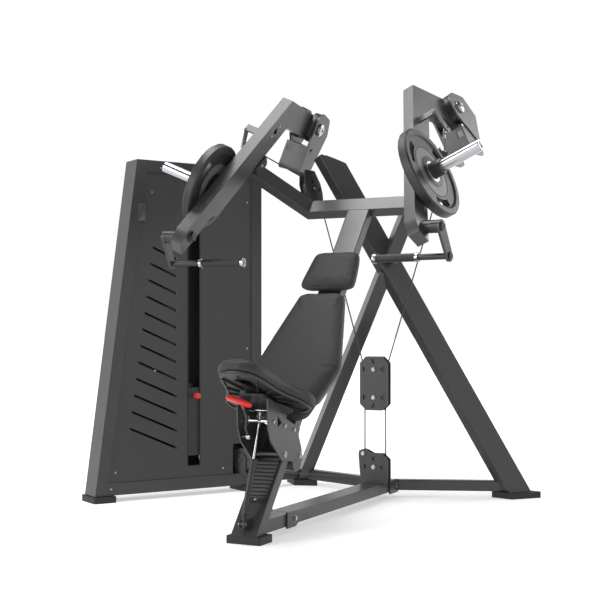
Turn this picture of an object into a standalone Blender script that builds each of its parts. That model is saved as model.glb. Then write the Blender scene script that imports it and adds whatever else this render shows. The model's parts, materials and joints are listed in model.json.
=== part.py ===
"""Shoulder press machine with a weight stack, two press arms and plate horns.

Metres, +Z up.  The sitter faces -Y, so +X is the sitter's left.  The seat, the spine and the arms
are laid out about the plane X = 0 and the front foot's front edge, and one parent empty then moves
the whole machine so that its origin is the middle of its footprint on the floor.
"""
import math

import bmesh
import bpy
from mathutils import Matrix, Vector

# ---- driving dimensions -------------------------------------------------------------------
GAP = 0.0004                      # clearance between touching pieces
WALL = 0.003                      # wall of the steel tubes
CORNER = 0.006                    # outer corner radius of the steel tubes

SPINE_LEAN = math.radians(39.4)   # the spine and the backrest lean back from vertical
SPINE_WIDE, SPINE_DEEP = 0.108, 0.050
SPINE_FOOT = Vector((0, 0.004, 0.036))
SPINE_LENGTH = 1.677

FOOT_SIZE = Vector((0.146, 0.102, 0.029))
BASE_WIDE, BASE_TALL, BASE_LOW = 0.100, 0.050, 0.031
BASE_FRONT, BASE_REAR = 0.302, 1.330
LUG_TALL, LUG_THICK = 0.063, 0.008
LUG_FRONT, LUG_REAR = (0.252, 0.318), (1.312, 1.397)
REAR_FOOT = Vector((0.562, 1.640, 0))
LEG_WIDE = 0.050

ARM_HUB = Vector((0.350, 1.276, 1.769))
ARM_AXIS = Vector((0.912, -0.090, 0.400)).normalized()
ARM_WIDE, ARM_DEEP = 0.050, 0.118
HUB_RADIUS = 0.072
CLEVIS_INSIDE, CLEVIS_PLATE = 0.104, 0.010
WEB_LEVEL, WEB_THICK, KITE_ROUND = -0.103, 0.008, 0.074

CROSS_WIDE, CROSS_TALL = 0.050, 0.075
CROSS_HALF = 0.245
CROSS_END = Vector((0.190, 0.265))

X_WIDE, X_DEEP = 0.120, 0.060

HORN_RADIUS, PLATE_RADIUS, PLATE_THICK = 0.025, 0.192, 0.040
BLOCK_Y, BLOCK_Z = 1.268, 0.543
PULLEY_RADIUS, CABLE = 0.050, 0.006
CABLE_X = PULLEY_RADIUS + CABLE / 2 - 0.001

TOWER_CORNER = Vector((-1.111, 0.561, 0))
TOWER_ALONG = Vector((0.512, 0.859, 0)).normalized()
TOWER_BACK = Vector((-0.859, 0.512, 0)).normalized()
TOWER_HIGH, TOWER_DEEP, TOWER_POST = 1.585, 0.120, 0.057
TOWER_RIGHT, TOWER_LEFT_LOW, TOWER_LEFT_HIGH = 0.9155, 0.029, 0.242
STACK_T, ROD_SPREAD, STACK_PLATE, STACK_LOW = 0.540, 0.064, 0.025, 0.190
STACK_COUNT, PICKED = 13, 2
STACK_TOP = STACK_LOW + STACK_COUNT * STACK_PLATE
VENT_LOW, VENT_STEP, VENT_RIGHT, VENT_SLOPE = 0.2257, 0.0812, 0.449, 0.425
VENT_LEFT, VENT_LEAN, VENT_TALL, VENT_COUNT = 0.207, 0.0107, 0.011, 12

COLOURS = {
    "frame_paint": ((0.075, 0.077, 0.082, 1), 0.45, 0.0),
    "panel_paint": ((0.062, 0.064, 0.068, 1), 0.5, 0.0),
    "rubber": ((0.018, 0.018, 0.019, 1), 0.8, 0.0),
    "upholstery": ((0.022, 0.022, 0.024, 1), 0.6, 0.0),
    "black_plastic": ((0.02, 0.02, 0.022, 1), 0.5, 0.0),
    "chrome": ((0.8, 0.8, 0.82, 1), 0.12, 1.0),
    "zinc_steel": ((0.6, 0.6, 0.62, 1), 0.3, 1.0),
    "red_plastic": ((0.6, 0.03, 0.03, 1), 0.4, 0.0),
    "stack_iron": ((0.035, 0.035, 0.037, 1), 0.55, 0.0),
    "plate_rubber": ((0.03, 0.03, 0.032, 1), 0.7, 0.0),
    "cable_black": ((0.02, 0.02, 0.02, 1), 0.45, 0.0),
}


# ---- scene and helpers ----------------------------------------------------------------------
def clear_scene():
    for item in list(bpy.data.objects):
        bpy.data.objects.remove(item, do_unlink=True)


def material(slot):
    found = bpy.data.materials.get(slot)
    if found:
        return found
    made = bpy.data.materials.new(slot)
    made.use_nodes = True
    shader = made.node_tree.nodes["Principled BSDF"]
    colour, rough, metal = COLOURS[slot]
    shader.inputs["Base Color"].default_value = colour
    shader.inputs["Roughness"].default_value = rough
    shader.inputs["Metallic"].default_value = metal
    return made


def empty(name, place, parent=None):
    pivot = bpy.data.objects.new(name, None)
    pivot.empty_display_size = 0.05
    pivot.location = place
    bpy.context.scene.collection.objects.link(pivot)
    if parent:
        pivot.parent = parent
        pivot.matrix_parent_inverse = Matrix.Translation(-pivot_place(parent))
    return pivot


def pivot_place(pivot):
    return Vector(pivot["place"]) if "place" in pivot else Vector((0, 0, 0))


def joint_empty(name, place, parent):
    pivot = empty(name, place, parent)
    pivot["place"] = tuple(place)
    return pivot


def add(name, mesh_bm, slot, parent, smooth_angle=35):
    """Turn a bmesh in machine coordinates into a named object under its parent empty."""
    bmesh.ops.recalc_face_normals(mesh_bm, faces=mesh_bm.faces)
    mesh = bpy.data.meshes.new(name)
    mesh_bm.to_mesh(mesh)
    mesh_bm.free()
    mesh.shade_smooth()
    mesh.set_sharp_from_angle(angle=math.radians(smooth_angle))
    mesh.materials.append(material(slot))
    made = bpy.data.objects.new(name, mesh)
    bpy.context.scene.collection.objects.link(made)
    made.parent = parent
    made.matrix_parent_inverse = Matrix.Translation(-pivot_place(parent))
    return made


def boolean(target, tool, operation):
    tool.hide_render = True
    tool.display_type = 'WIRE'
    step = target.modifiers.new(operation.lower(), 'BOOLEAN')
    step.operation = operation
    step.object = tool
    step.solver = 'EXACT'
    return target


def cut(target, *tools):
    for tool in tools:
        boolean(target, tool, 'DIFFERENCE')
    return target


def weld(target, *tools):
    for tool in tools:
        boolean(target, tool, 'UNION')
    return target


def plane_axes(along, wide_hint):
    along = along.normalized()
    wide = (wide_hint - along * wide_hint.dot(along)).normalized()
    return along, wide, along.cross(wide).normalized()


def extrude(outline, origin, u_axis, v_axis, low, high, hole=None):
    """Prism of a 2-D outline, from low to high along u x v, with an optional through hole."""
    n_axis = u_axis.cross(v_axis).normalized()
    shape = bmesh.new()

    def ring(points, height):
        return [shape.verts.new(origin + u_axis * p[0] + v_axis * p[1] + n_axis * height)
                for p in points]

    outer = [ring(outline, low), ring(outline, high)]
    count = len(outline)
    for i in range(count):
        j = (i + 1) % count
        shape.faces.new((outer[0][i], outer[0][j], outer[1][j], outer[1][i]))
    if hole is None:
        shape.faces.new(outer[0])
        shape.faces.new(outer[1])
        return shape
    inner = [ring(hole, low), ring(hole, high)]
    for i in range(count):
        j = (i + 1) % count
        shape.faces.new((inner[0][i], inner[0][j], inner[1][j], inner[1][i]))
        for level in (0, 1):
            shape.faces.new((outer[level][i], outer[level][j], inner[level][j], inner[level][i]))
    return shape


def round_rect(width, height, radius, steps=3):
    points = []
    corners = ((1, 1), (-1, 1), (-1, -1), (1, -1))
    for index, (sx, sy) in enumerate(corners):
        centre = (sx * (width / 2 - radius), sy * (height / 2 - radius))
        for k in range(steps + 1):
            angle = math.pi / 2 * (index + k / steps)
            points.append((centre[0] + radius * math.cos(angle), centre[1] + radius * math.sin(angle)))
    return points


def circle(radius, count, centre=(0, 0)):
    turn = 2 * math.pi / count
    return [(centre[0] + radius * math.cos(turn * i), centre[1] + radius * math.sin(turn * i))
            for i in range(count)]


def rounded(points, radius, steps=4):
    """Round each corner of a polygon."""
    out = []
    count = len(points)
    for i in range(count):
        here = Vector(points[i])
        before = (Vector(points[i - 1]) - here)
        after = (Vector(points[(i + 1) % count]) - here)
        turn = math.pi - before.angle(after)
        if abs(turn) < math.radians(4):
            out.append(tuple(here))
            continue
        reach = min(radius * math.tan(turn / 2), before.length * 0.45, after.length * 0.45)
        start = here + before.normalized() * reach
        end = here + after.normalized() * reach
        for k in range(steps + 1):
            t = k / steps
            point = start * (1 - t) ** 2 + here * 2 * t * (1 - t) + end * t ** 2
            out.append((point.x, point.y))
    return out


def box_tube(name, start, end, wide_hint, wide, deep, parent, slot="frame_paint", corner=CORNER):
    """Open-ended rectangular steel tube from start to end."""
    _, wide_axis, deep_axis = plane_axes(end - start, wide_hint)
    outer = round_rect(wide, deep, corner)
    inner = round_rect(wide - 2 * WALL, deep - 2 * WALL, corner - WALL * 0.8)
    shape = extrude(outer, start, wide_axis, deep_axis, 0, (end - start).length, inner)
    return add(name, shape, slot, parent)


def solid_bar(name, start, end, wide_hint, wide, deep, parent, slot="frame_paint", corner=CORNER):
    _, wide_axis, deep_axis = plane_axes(end - start, wide_hint)
    shape = extrude(round_rect(wide, deep, corner), start, wide_axis, deep_axis, 0, (end - start).length)
    return add(name, shape, slot, parent)


def turned(name, profile, origin, axis, parent, slot, count=24):
    """Lathe a profile of (radius, height) pairs about an axis; radius 0 closes an end."""
    along, u_axis, v_axis = plane_axes(axis, Vector((0.31, 0.17, 0.93)))
    shape = bmesh.new()
    rings = []
    for radius, height in profile:
        centre = origin + along * height
        if radius < 1e-6:
            rings.append([shape.verts.new(centre)])
            continue
        rings.append([shape.verts.new(centre + u_axis * p[0] + v_axis * p[1])
                      for p in circle(radius, count)])
    closed = len(rings[0]) > 1
    pairs = list(zip(rings, rings[1:])) + ([(rings[-1], rings[0])] if closed else [])
    for first, second in pairs:
        if len(first) == 1 and len(second) == 1:
            continue
        for i in range(count):
            j = (i + 1) % count
            if len(first) == 1:
                shape.faces.new((first[0], second[i], second[j]))
            elif len(second) == 1:
                shape.faces.new((first[i], first[j], second[0]))
            else:
                shape.faces.new((first[i], first[j], second[j], second[i]))
    return add(name, shape, slot, parent)


def loft(name, rings, parent, slot):
    """Closed solid through a list of rings that have the same number of points."""
    shape = bmesh.new()
    levels = [[shape.verts.new(point) for point in ring] for ring in rings]
    count = len(rings[0])
    for low, high in zip(levels, levels[1:]):
        for i in range(count):
            j = (i + 1) % count
            shape.faces.new((low[i], low[j], high[j], high[i]))
    shape.faces.new(levels[0])
    shape.faces.new(levels[-1])
    return add(name, shape, slot, parent)


def cutter_cylinder(name, origin, axis, radius, length, parent, count=24):
    half = length / 2
    return turned(name, [(0, -half), (radius, -half), (radius, half), (0, half)], origin, axis,
                  parent, "rubber", count)


def cable(name, points, diameter, parent):
    curve = bpy.data.curves.new(name, 'CURVE')
    curve.dimensions = '3D'
    curve.bevel_depth = diameter / 2
    curve.bevel_resolution = 2
    curve.use_fill_caps = True
    spline = curve.splines.new('POLY')
    spline.points.add(len(points) - 1)
    for spot, point in zip(spline.points, points):
        spot.co = (*point, 1)
    curve.materials.append(material("cable_black"))
    made = bpy.data.objects.new(name, curve)
    bpy.context.scene.collection.objects.link(made)
    made.parent = parent
    made.matrix_parent_inverse = Matrix.Translation(-pivot_place(parent))
    return made


def arc_points(centre, start, end, normal, steps):
    """Points from start round the centre to end, turning about the normal."""
    first = start - centre
    second = end - centre
    angle = first.angle(second)
    if first.cross(second).dot(normal) < 0:
        angle = 2 * math.pi - angle
    return [centre + Matrix.Rotation(angle * k / steps, 3, normal) @ first for k in range(steps + 1)]


def tangent_point(centre, radius, outside, normal, side):
    """Where a line from an outside point touches a pulley, on the side asked for."""
    reach = outside - centre
    reach = reach - normal * reach.dot(normal)
    angle = math.acos(radius / reach.length)
    return centre + Matrix.Rotation(side * angle, 3, normal) @ (reach.normalized() * radius)


# ---- shared directions ------------------------------------------------------------------------
SPINE_UP = Vector((0, math.sin(SPINE_LEAN), math.cos(SPINE_LEAN)))
SPINE_OUT = Vector((0, -math.cos(SPINE_LEAN), math.sin(SPINE_LEAN)))
RIGHT = Vector((1, 0, 0))
UP = Vector((0, 0, 1))
SIDES = (("left", 1), ("right", -1))


def flip(vector, side):
    return Vector((vector.x * side, vector.y, vector.z))


def spine_point(along, out=0.0, across=0.0):
    """A point by distance along the spine's front face, in front of it and across it."""
    return SPINE_FOOT + SPINE_UP * along + SPINE_OUT * out + RIGHT * across


def arm_axes(side):
    """Outward hinge axis, forward and upward directions of an arm's own plane."""
    outward = flip(ARM_AXIS, side)
    forward = (Vector((0, -1, 0)) - outward * outward.dot(Vector((0, -1, 0)))).normalized()
    upward = forward.cross(outward) * side
    return outward, forward, upward.normalized()


def out_levels(side, low, high):
    """Extrusion heights along fore x up for a span of outward distances from an arm's middle plane."""
    return sorted((-side * low, -side * high))


def arm_point(side, forward, upward, outward=0.0):
    out_axis, fore_axis, up_axis = arm_axes(side)
    return flip(ARM_HUB, side) + fore_axis * forward + up_axis * upward + out_axis * outward


def tower_point(along, back, height):
    return TOWER_CORNER + TOWER_ALONG * along + TOWER_BACK * back + UP * height


# ---- floor frame ------------------------------------------------------------------------------
def foot_pad(name, outline, parent, tall):
    shape = extrude(outline, Vector((0, 0, 0)), RIGHT, Vector((0, 1, 0)), 0, tall)
    return add(name, shape, "rubber", parent)


def build_floor_frame(frame):
    width, depth, tall = FOOT_SIZE
    front = [(x, y + depth / 2) for x, y in rounded([(-width / 2, -depth / 2), (width / 2, -depth / 2),
                                                    (width / 2, depth / 2), (-width / 2, depth / 2)], 0.01)]
    foot_pad("front_foot_pad", front, frame, tall)

    spine = box_tube("spine_tube", spine_point(-0.06, -SPINE_DEEP / 2),
                     spine_point(SPINE_LENGTH, -SPINE_DEEP / 2), RIGHT, SPINE_WIDE, SPINE_DEEP, frame)
    below = extrude([(-0.5, -0.5), (0.5, -0.5), (0.5, 0.5), (-0.5, 0.5)], Vector((0, 0, 0)),
                    RIGHT, Vector((0, 1, 0)), -0.3, tall + GAP)
    cut(spine, add("spine_foot_cutter", below, "rubber", frame))

    middle = BASE_LOW + BASE_TALL / 2
    base = box_tube("base_frame", Vector((0, BASE_FRONT, middle)), Vector((0, BASE_REAR, middle)), RIGHT,
                    BASE_WIDE, BASE_TALL, frame)
    for side_name, side in SIDES:
        foot = flip(REAR_FOOT, side)
        start = Vector((side * 0.030, LUG_REAR[1] + 0.033, middle))
        end = Vector((foot.x - side * 0.060, foot.y - 0.030, middle))
        leg = box_tube("rear_leg_" + side_name, start, end, UP.cross(end - start),
                       LEG_WIDE, BASE_TALL, frame)
        cut(leg, leaning_tube("leg_cutter_" + side_name, -side, -0.3, 0.6, frame, GAP))
        weld(base, leg)
        corners = [Vector((0.452, 1.597)), Vector((0.566, 1.558)), Vector((0.676, 1.685)),
                   Vector((0.562, 1.724))]
        outline = rounded([(side * p.x, p.y) for p in corners], 0.01)
        foot_pad("rear_foot_pad_" + side_name, outline, frame, tall)
    half = BASE_WIDE / 2 + 2 * GAP
    low, high = BASE_LOW + GAP, BASE_LOW + BASE_TALL - GAP
    knot = extrude([(-half, BASE_REAR - 0.006), (half, BASE_REAR - 0.006), (half, LUG_REAR[1] + 0.048),
                    (-half, LUG_REAR[1] + 0.048)], Vector((0, 0, 0)), RIGHT, Vector((0, 1, 0)), low, high)
    weld(base, add("junction_block", knot, "rubber", frame))
    add_lugs(base, "junction", LUG_REAR, BASE_WIDE / 2 - GAP, frame)

    # stub behind the spine with two round-ended lugs that hold the base's front end
    stub = extrude([(0.05, low), (BASE_FRONT - 0.002, low), (BASE_FRONT - 0.002, high), (0.05, high)],
                   Vector((0, 0, 0)), Vector((0, 1, 0)), UP, -half, half)
    bracket = add("base_bracket", stub, "frame_paint", frame)
    add_lugs(bracket, "bracket", LUG_FRONT, BASE_WIDE / 2 + GAP, frame)
    in_front = extrude([(-0.5, -0.5), (SPINE_DEEP / 2, -0.5), (SPINE_DEEP / 2, 0.5), (-0.5, 0.5)],
                       spine_point(0, -SPINE_DEEP / 2), -SPINE_OUT, SPINE_UP, -0.3, 0.3)
    cut(bracket, add("bracket_face", in_front, "rubber", frame), spine_block(frame, "bracket_cutter"))


def add_lugs(body, label, span, near, frame):
    """Round-ended plate on each outer side of the base, from a straight edge to a bolt's place."""
    edge, bolt = span
    radius = LUG_TALL / 2
    middle = BASE_LOW + BASE_TALL / 2
    outline = [(edge, middle + radius), (edge, middle - radius)]
    outline += [(bolt + radius * math.sin(turn), middle - radius * math.cos(turn))
                for turn in (math.pi * k / 10 for k in range(11))]
    for side_name, side in SIDES:
        levels = sorted((side * near, side * (near + LUG_THICK)))
        shape = extrude(outline, Vector((0, 0, 0)), Vector((0, 1, 0)), UP, *levels)
        weld(body, add("%s_lug_%s" % (label, side_name), shape, "rubber", frame))


def spine_block(frame, name):
    """Solid slightly larger than the spine, to notch the plates that meet it."""
    _, wide_axis, deep_axis = plane_axes(SPINE_UP, RIGHT)
    outline = round_rect(SPINE_WIDE + 2 * GAP, SPINE_DEEP + 2 * GAP, CORNER)
    shape = extrude(outline, spine_point(-0.1, -SPINE_DEEP / 2), wide_axis, deep_axis, 0, 2)
    return add(name, shape, "rubber", frame)


# ---- X frame and crossbar -----------------------------------------------------------------------
X_TOP = Vector((0.305, 1.300, 1.690))
X_FOOT = Vector((-0.562, 1.640, 0.029))
X_FACE = Vector((0.79, -0.53, 0.30))


def x_axes(top_side):
    """Frame of the leaning tube whose top is on the given side and whose foot is on the other."""
    top, foot = flip(X_TOP, top_side), flip(X_FOOT, top_side)
    along, face_axis, side_axis = plane_axes(top - foot, flip(X_FACE, -top_side))
    return foot, top, along, face_axis, side_axis


def leaning_tube(name, top_side, start, end, parent, grow=0.0):
    """Piece of a leaning tube between two distances up from the floor end."""
    foot, _, _, face_axis, side_axis = x_axes(top_side)
    outer = round_rect(X_DEEP + 2 * grow, X_WIDE + 2 * grow, CORNER)
    inner = None if grow else round_rect(X_DEEP - 2 * WALL, X_WIDE - 2 * WALL, CORNER - WALL * 0.8)
    shape = extrude(outer, foot, face_axis, side_axis, start, end, inner)
    return add(name, shape, "frame_paint", parent)


def build_x_frame(frame):
    tall = FOOT_SIZE.z
    length = (X_TOP - X_FOOT).length
    crossing = -X_FOOT.x / (X_TOP.x - X_FOOT.x) * length
    whole = leaning_tube("x_tube_left_foot", -1, -0.1, length - 0.065, frame)
    lower = leaning_tube("x_tube_right_foot_lower", 1, -0.1, crossing - 0.03, frame)
    upper = leaning_tube("x_tube_right_foot_upper", 1, crossing + 0.03, length - 0.065, frame)
    for index, piece in enumerate((lower, upper)):
        cut(piece, leaning_tube("x_crossing_cutter_%d" % index, -1, -0.3, length + 0.3, frame, GAP))
    for index, piece in enumerate((whole, lower)):
        below = extrude([(-1, -1), (1, -1), (1, 3), (-1, 3)], Vector((0, 0, 0)), RIGHT,
                        Vector((0, 1, 0)), -0.5, tall + GAP)
        cut(piece, add("x_foot_cutter_%d" % index, below, "rubber", frame))


def cross_point(across, out, up=0.0):
    """Point on the crossbar: sideways, forwards square to the spine, and along the spine."""
    return spine_point(SPINE_LENGTH + GAP + up, out, across)


def build_crossbar(frame):
    half, wide = CROSS_HALF, CROSS_WIDE
    bend = CROSS_END.normalized()
    normal = Vector((-bend.y, bend.x))
    tip = Vector((half, 0)) + CROSS_END
    rear_corner = Vector((half, 0)) + Vector((wide * (1 - bend.x) / bend.y, -wide))
    tip_rear = tip - normal * wide
    outline = [(-tip.x, tip.y), (-half, 0), (half, 0), (tip.x, tip.y), (tip_rear.x, tip_rear.y),
               (rear_corner.x, rear_corner.y), (-rear_corner.x, rear_corner.y), (-tip_rear.x, tip_rear.y)]
    shape = extrude(outline, cross_point(0, 0), RIGHT, SPINE_OUT, -CROSS_TALL, 0)
    bar = add("crossbar", shape, "frame_paint", frame)
    edge = bar.modifiers.new("edges", 'BEVEL')
    edge.width = 0.004
    edge.segments = 2
    edge.angle_limit = math.radians(50)
    edge.limit_method = 'ANGLE'

    # rubber stops on the bar's ends, square to the back of each arm at rest
    lower = (FOLD - KNEE).normalized()
    rear = Vector((lower.y, -lower.x))
    for side_name, side in SIDES:
        _, fore_axis, up_axis = arm_axes(side)
        near, far = ARM_DEEP + 0.0006, ARM_DEEP + 0.0565
        corners = ((0.250, near), (0.338, near), (0.338, far - 0.010), (0.328, far), (0.260, far),
                   (0.250, far - 0.010))
        outline = [tuple(KNEE + lower * along + rear * depth) for along, depth in corners]
        shape = extrude(outline, flip(ARM_HUB, side), fore_axis, up_axis, *out_levels(side, -0.032, 0.026))
        add("arm_stop_" + side_name, shape, "rubber", frame)

    # struts from the bar back to the leaning tubes
    for side_name, side in SIDES:
        start = cross_point(side * 0.13, -CROSS_WIDE + 0.022, CROSS_TALL * 0.5)
        foot, _, along, _, _ = x_axes(side)
        end = foot + along * ((start.z + 0.03 - foot.z) / along.z)
        end -= (end - start).normalized() * 0.022
        strut = solid_bar("crossbar_strut_" + side_name, start, end, RIGHT, 0.07, 0.05, frame)
        cut(strut, leaning_tube("strut_cutter_" + side_name, side, 0.3, 2.2, frame, GAP))
        weld(bar, strut)


# ---- press arms -------------------------------------------------------------------------------
def build_clevis(side_name, side, frame):
    """Kite-shaped outer plate and an inner plate each side of the arm's hub, joined by a folded web."""
    out_axis, fore_axis, up_axis = arm_axes(side)
    hub = flip(ARM_HUB, side)
    half = CLEVIS_INSIDE / 2
    outer = half + CLEVIS_PLATE
    block = rounded([(0.060, 0.045), (0.010, 0.078), (-0.085, 0.060), (-0.125, -0.015), (-0.075, -0.235),
                     (0.045, -0.235), (0.050, -0.10)], 0.03, 5)
    shape = extrude(block, hub, fore_axis, up_axis, *out_levels(side, -outer, half + 0.004))
    bracket = add("pivot_bracket_" + side_name, shape, "frame_paint", frame)
    shelf = WEB_LEVEL + WEB_THICK
    room = extrude([(0.3, shelf), (0.3, 0.3), (-0.3, 0.3), (-0.3, shelf)], hub, fore_axis, up_axis,
                   *out_levels(side, -half, half + 0.1))
    cut(bracket, add("pivot_room_" + side_name, room, "rubber", frame))
    hollow = extrude([(0.037, WEB_LEVEL), (0.037, -0.4), (-0.3, -0.4), (-0.3, WEB_LEVEL)], hub, fore_axis,
                     up_axis, *out_levels(side, -half + 0.006, half - 0.002))
    cut(bracket, add("pivot_hollow_" + side_name, hollow, "rubber", frame))
    window = extrude([(0.1, -0.113), (0.1, -0.140), (0.0, -0.140), (0.0, -0.113)], hub, fore_axis, up_axis,
                     *out_levels(side, 0.018, half - 0.006))
    cut(bracket, add("pivot_window_" + side_name, window, "rubber", frame))
    kite = [(KITE_ROUND * math.cos(math.radians(turn)), KITE_ROUND * math.sin(math.radians(turn)))
            for turn in range(-45, 96, 14)]
    kite += [(-0.105, 0.067), (-0.170, -0.022), (-0.078, -0.176)]
    plate = extrude(kite, hub, fore_axis, up_axis, *out_levels(side, half, outer))
    weld(bracket, add("pivot_kite_" + side_name, plate, "rubber", frame))
    tool = leaning_tube("pivot_cutter_" + side_name, side, 1.5, 2.1, frame, GAP)
    tube_end = WEB_LEVEL + 0.003
    cutter_end = tube_end + GAP
    over = extrude([(0.35, cutter_end), (0.35, 0.3), (-0.35, 0.3), (-0.35, cutter_end)], hub, fore_axis,
                   up_axis, -0.3, 0.3)
    cut(tool, add("pivot_cutter_top_" + side_name, over, "rubber", frame))
    cut(bracket, tool, cutter_cylinder("pivot_hole_" + side_name, hub, out_axis, 0.0123, 0.4, frame, 16))
    pin = [(0, -0.074), (0.008, -0.074), (0.030, -0.070), (0.030, -outer - GAP), (0.012, -outer - GAP),
           (0.012, outer + GAP), (0.030, outer + GAP), (0.030, 0.070), (0.008, 0.074), (0, 0.074)]
    turned("pivot_pin_" + side_name, pin, hub, out_axis, frame, "zinc_steel", 16)
    tube_name = "x_tube_left_foot" if side < 0 else "x_tube_right_foot_upper"
    above = extrude([(0.35, tube_end), (0.35, 0.3), (-0.35, 0.3), (-0.35, tube_end)], hub, fore_axis, up_axis,
                    -0.3, 0.3)
    cut(bpy.data.objects[tube_name], add("tube_top_cutter_" + side_name, above, "rubber", frame))


def line_crossing(point_a, dir_a, point_b, dir_b):
    cross = dir_a.x * dir_b.y - dir_a.y * dir_b.x
    offset = point_b - point_a
    return point_a + dir_a * ((offset.x * dir_b.y - offset.y * dir_b.x) / cross)


KNEE = Vector((0.337, 0.083))
FOLD, TURN, TIP = Vector((0.888, -0.572)), Vector((0.904, -0.632)), Vector((0.856, -0.676))
TOP_REAR = Vector((-0.055, 0.046))
STEP_START, STEP_END, STEP_DEEP = 0.645, 0.690, 0.088
HORN_SPOT = Vector((0.657, -0.386))
PULL_SPOT = Vector((0.391, -0.173))


def arm_outline(inset=0.0):
    """Side view of an arm: hub end, top run, knee, long lower run, a step and a narrower faceted end."""
    lower = (FOLD - KNEE).normalized()
    top = (TOP_REAR - KNEE).normalized()
    lower_in = Vector((lower.y, -lower.x))
    top_in = Vector((-top.y, top.x))
    knee = line_crossing(KNEE + lower_in * inset, lower, KNEE + top_in * inset, top)
    heel = line_crossing(KNEE + lower_in * (ARM_DEEP - inset), lower,
                         KNEE + top_in * (ARM_DEEP - inset), top)
    steps = [KNEE + lower * (reach - inset * 0.4) + lower_in * (depth - inset)
             for reach, depth in ((STEP_END, STEP_DEEP), (STEP_START, ARM_DEEP))]
    top_rear = TOP_REAR + top_in * inset - top * inset
    low_rear = TOP_REAR + top_in * (ARM_DEEP - inset) - top * inset
    middle = Vector((0.83, -0.60))
    end = [spot + (middle - spot).normalized() * inset * 1.3 for spot in (FOLD, TURN, TIP)]
    return [tuple(p) for p in (top_rear, knee, *end, *steps, heel, low_rear)]


HANDLE_AXIS = Vector((0.991, -0.134, 0))
BOSS = Vector((0.560, 0.440, 1.186))
BOSS_RADIUS = 0.0255
PIPE_OUT = Vector((0.634, 0.498, 1.076))


def build_arm(side_name, side, arm):
    out_axis, fore_axis, up_axis = arm_axes(side)
    hub = flip(ARM_HUB, side)
    half = ARM_WIDE / 2
    shape = extrude(arm_outline(), hub, fore_axis, up_axis, -half, half)
    body = add("press_arm_" + side_name, shape, "frame_paint", arm)
    boss_spot, boss_axis = flip(BOSS, side), flip(HANDLE_AXIS, side)
    edge, skin = CLEVIS_INSIDE / 2 - 0.0008, half - 0.002
    spool = [(0, -edge), (HUB_RADIUS - 0.004, -edge), (HUB_RADIUS, -edge + 0.004), (HUB_RADIUS, -skin),
             (0.045, -skin), (0.045, skin), (HUB_RADIUS, skin), (HUB_RADIUS, edge - 0.004),
             (HUB_RADIUS - 0.004, edge), (0, edge)]
    weld(body, turned("hub_spool_" + side_name, spool, hub, out_axis, arm, "rubber", 20))
    # boss tube through the lower end; the handle link turns on its spigot
    tube = [(0, -0.078), (0.020, -0.078), (0.020, -0.066), (BOSS_RADIUS, -0.064), (BOSS_RADIUS, 0.052),
            (0.012, 0.052), (0.012, 0.067), (0, 0.067)]
    weld(body, turned("handle_boss_" + side_name, tube, boss_spot, boss_axis, arm, "rubber", 16))

    # saddle plate on the back of the arm behind the horn
    lower = (FOLD - KNEE).normalized()
    rear = Vector((lower.y, -lower.x))
    start = KNEE + rear * (ARM_DEEP - 0.001)
    outline = [start + lower * 0.36, start + lower * 0.63, start + lower * 0.59 + rear * 0.014,
               start + lower * 0.40 + rear * 0.014]
    shape = extrude([tuple(p) for p in outline], hub, fore_axis, up_axis, -0.020, 0.020)
    weld(body, add("arm_saddle_" + side_name, shape, "rubber", arm))

    # bent bracket and fork that hold the end of the press cable
    along = fore_axis * lower.x + up_axis * lower.y
    foot = arm_point(side, 0.43, -0.10, half - 0.001)
    pull = pull_point(side)
    shape = extrude([(-0.018, 0), (0.018, 0), (0.018, 0.078), (-0.018, 0.078)], foot, along, out_axis,
                    -0.004, 0.004)
    weld(body, add("pull_strip_" + side_name, shape, "rubber", arm))
    tail_start = foot + out_axis * 0.073
    reach = pull - tail_start
    weld(body, solid_bar("pull_tail_" + side_name, tail_start - reach * 0.03, pull + reach * 0.25, along,
                         0.030, 0.010, arm, "rubber", 0.003))
    fork_axis = (guide_point(side) - pull).normalized()
    weld(body, solid_bar("pull_fork_" + side_name, pull, pull + fork_axis * 0.040, along, 0.020, 0.020, arm,
                         "rubber", 0.004))

    # the arm is a hollow box section: its room, the star-shaped hole in its inner face and the bore
    hollow = extrude(arm_outline(0.005), hub, fore_axis, up_axis, -half + 0.004, half - 0.004)
    cut(body, add("arm_hollow_" + side_name, hollow, "rubber", arm))
    star = [Vector((0.395, -0.070)) + Vector((math.sin(a), math.cos(a))) * r
            for a, r in ((math.tau * k / 6, 0.020 if k % 2 == 0 else 0.012) for k in range(6))]
    hole = extrude([tuple(p) for p in star], hub, fore_axis, up_axis, *out_levels(side, -0.04, -0.015))
    cut(body, add("arm_star_hole_" + side_name, hole, "rubber", arm))
    cut(body, cutter_cylinder("arm_bore_" + side_name, hub, out_axis, 0.0126, 0.2, arm, 16))

    horn_spot = arm_point(side, HORN_SPOT.x, HORN_SPOT.y)
    horn = [(0, half + GAP), (0.045, half + GAP), (0.045, 0.034), (0.0275, 0.035), (HORN_RADIUS, 0.037),
            (HORN_RADIUS, 0.294), (0.022, 0.298), (0.016, 0.298), (0.015, 0.293), (0, 0.293)]
    turned("plate_horn_" + side_name, horn, horn_spot, out_axis, arm, "chrome", 20)
    return body


def pull_point(side):
    """Where the press cable's fork is fixed to an arm's bracket."""
    return arm_point(side, PULL_SPOT.x, PULL_SPOT.y, 0.105)


def guide_point(side):
    return flip(GUIDE, side)


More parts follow.
